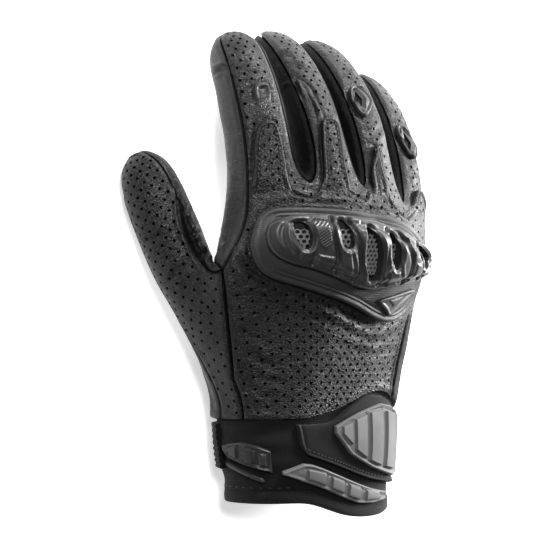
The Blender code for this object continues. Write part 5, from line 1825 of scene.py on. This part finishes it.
def knit(name, value, pitch, size):
    """Knitted cloth: loops in rows, with a soft sheen"""
    look = Look(name, 0.9, Sheen_Weight=0.05, Sheen_Roughness=0.6, Specular_IOR_Level=0.3)
    rows = look.bands(pitch, (0, 0, 90), 1.5)
    columns = look.bands(pitch * 1.2, (0, 20, 0), 1.5)
    loops = look.product(rows, columns)
    # Base colour follows the loops' relief: painted shade between the loops and painted light on their tops
    look.shade(look.ranged(loops, 0, 1, 0.1, 0.8), grey(value * 0.6), grey(value * 1.4))
    look.raised((loops, size), (look.noise(1500, 3), 0.08))
    return look.material


def thread(name, value):
    """Twisted sewing thread"""
    look = Look(name, 0.7, Sheen_Weight=0.2)
    look.shade(look.noise(500, 2), grey(value * 0.7), grey(value * 1.3))
    look.raised((look.bands(2600, (0, 0, 40)), 0.08))
    return look.material


def all_looks():
    """Every material of the glove"""
    return dict(
        leather=leather("black_leather", 0.006),
        smooth_leather=leather("smooth_leather", 0.006, 0.04, 0.8),
        grey_leather=leather("grey_leather", 0.020, 0.0, 0.8),
        # Darker, duller leather: the thumb's smooth gusset and the hand's side past its seam, and painted
        # shade in the crotches between the fingers and round the finger guards' openings
        dull_leather_and_painted_shade=leather("dull_leather_and_painted_shade", 0.003, -0.16, 0.8, 0.22),
        satin=satin("satin_leather", 0.016),
        rubber=rubber("black_rubber", 0.020, 0.54),
        dotted=rubber("studded_rubber", 0.017, 0.60, dots=True),
        gloss=shell("gloss_shell", 0.025, 0.42),
        hatched=shell("hatched_shell", 0.040, 0.42, hatched=True),
        cells=shell("mesh_plastic", 0.150, 0.42),
        grey_rubber=rubber("grey_rubber", 0.096, 0.75),
        painted_shade_rubber=rubber("painted_shade_rubber", 0.003, 0.75),
        # Near-black copy of the rubber: painted shade on the flange under the guard
        dark_rubber=rubber("dark_rubber", 0.018, 0.46),
        knit=knit("cuff_knit", 0.003, 1100, 0.09),
        tape=knit("binding_tape", 0.005, 1400, 0.12),
        neoprene=knit("strap_neoprene", 0.006, 1900, 0.08),
        thread=thread("sewing_thread", 0.060),
        dark_thread=thread("dark_thread", 0.014),
    )


SKY_STRENGTH = 0.10
FLOOR_GLOW = 0.50
# Studio lights: where each stands from the glove's middle, its size and its power
LIGHTS = table(
    "name place size power",
    ("rim", (1.2, 0.20, 0.35), 0.40, 32),
    ("key", (0.45, 1.05, 0.75), 0.40, 27),
    ("top", (-0.55, 0.30, 1.15), 0.28, 13))


def add_floor():
    """A wide pale floor"""
    half = 3.0
    bm = bmesh.new()
    bmesh.ops.create_grid(bm, x_segments=8, y_segments=8, size=half)
    mesh = mesh_of(bm, "floor")
    look = Look("floor_paper", 0.85, Emission_Color=(1, 1, 1, 1), Emission_Strength=FLOOR_GLOW)
    look.shade(look.noise(6, 2), (0.86, 0.86, 0.865), (0.90, 0.90, 0.905))
    mesh.materials.append(look.material)
    shown("floor", mesh)


def add_lights():
    """Soft boxes and a pale sky"""
    for row in LIGHTS:
        light = bpy.data.lights.new(row["name"], "AREA")
        light.shape = "SQUARE"
        light.size = row["size"]
        light.energy = row["power"]
        lamp = shown(row["name"], light)
        lamp.location = row["place"]
        lamp.rotation_euler = (-Vector(row["place"])).to_track_quat("-Z", "Y").to_euler()
    world = bpy.data.worlds.new("studio")
    world.use_nodes = True
    sky = world.node_tree.nodes["Background"].inputs
    sky["Color"].default_value = (0.95, 0.97, 1.0, 1)
    sky["Strength"].default_value = SKY_STRENGTH
    bpy.context.scene.world = world


def add_camera():
    """The photograph's view: above the hand, leaning to the thumb's side"""
    lens = bpy.data.cameras.new("camera")
    lens.sensor_width = SENSOR
    lens.lens = SENSOR * CAMERA_DISTANCE / VIEW_WIDTH
    camera = shown("camera", lens)
    turn = Matrix((VIEW_RIGHT, Vector((0, 1, 0)), VIEW_BACK)).transposed().to_4x4()
    camera.matrix_world = Matrix.Translation(CAMERA_AIM + SHIFT + VIEW_BACK * CAMERA_DISTANCE) @ turn
    scene = bpy.context.scene
    scene.camera = camera
    scene.view_settings.view_transform = "Standard"
    scene.view_settings.look = "Medium High Contrast"


def low_corner(mesh):
    """The lowest coordinates of a mesh"""
    return Vector(min(vertex.co[k] for vertex in mesh.vertices) for k in range(3))


# From the glove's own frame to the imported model's, whose cuff is this form at one level
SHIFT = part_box("cuff")[0] - low_corner(subdivided(cuff_cage(), 1))
SHIFT.z = 0


def main():
    """The whole scene, piece by piece"""
    looks = all_looks()
    skin = Skin()
    surface = skin.surface
    sheets = add_tongues(surface, looks) + add_flex_panels(surface, looks)
    sheets += add_finger_guards(surface, looks)
    sheets.append(add_flange(surface, looks))
    covered = [vertex.co.copy() for mesh in sheets for vertex in mesh.vertices]
    covered = [point for point in covered if skin.height(point) > 0]
    add_guard(surface, looks)
    add_honeycomb(surface, looks)
    add_badge(surface, looks)

    ditches = ditch_tree(surface)
    view = ViewWrap(surface)
    middles = []
    for spec in FINGER_GUARDS:
        wrap = finger_wrap(surface, spec["finger"])
        middle = side_loop(wrap, spec["hole"], 1).mean(0)
        middles.append(wrap.spot(middle)[0])
    wells = tree_of(middles)
    spots = perforation(skin, covered)
    finishes = dict(back_panel="leather", thumb_back_panel="leather", index_side_panel="grey_leather")
    # The fourchettes take the darker, duller leather: duller as the real leather is, darker as painted
    # shade between the fingers
    finishes.update((name, "dull_leather_and_painted_shade") for name in PANELS if name.startswith("fourchette"))
    for index, name in enumerate(PANELS):
        mesh = skin.panel(index, ditches)
        holes = [spot for spot in spots if spot[0] == index]
        if holes:
            mesh = punched(mesh, holes)
        if name == "thumb_back_panel":
            for face in mesh.polygons:
                face.material_index = int(view.is_beyond(THUMB_SEAM, face.center))
        if name == "back_panel":
            for face in mesh.polygons:
                # Round each finger guard's opening the leather takes the darker material: painted shade in
                # the hollow under the guard
                is_well = wells.find(face.center)[2] < WELL_REACH
                face.material_index = int(is_well or view.is_beyond(SIDE_SEAM, face.center))
        finish = [looks[finishes.get(name, "smooth_leather")], looks["dull_leather_and_painted_shade"]]
        add_piece(name + "_leather", mesh, finish, [name])

    form = subdivided(cuff_cage(), SKIN_LEVELS)
    add_cuff(form, looks)
    wrap = HandWrap(Surface(form), -CUFF_LENGTH)
    add_strap(wrap, looks)
    pad_seat = 2 * LAY_GAP + STRAP_THICK
    pale, dark = looks["grey_rubber"], looks["dark_rubber"]
    add_plate("strap_pad", wrap, STRAP_PAD, PAD_BLOCKS, pad_seat, PAD_THICK, pale, 1)
    add_plate("cuff_bar", wrap, CUFF_BAR, BAR_BLOCKS, LAY_GAP, BAR_THICK, pale, 1)
    add_plate("cuff_patch", wrap, CUFF_PATCH, PATCH_BLOCKS, LAY_GAP, BAR_THICK, dark, 1)
    add_plate("patch_strip", wrap, PATCH_STRIP, (), LAY_GAP, BAR_THICK, dark)
    add_gather(wrap, looks)
    add_cuff_stitches(wrap, looks)

    add_floor()
    add_lights()
    add_camera()


main()
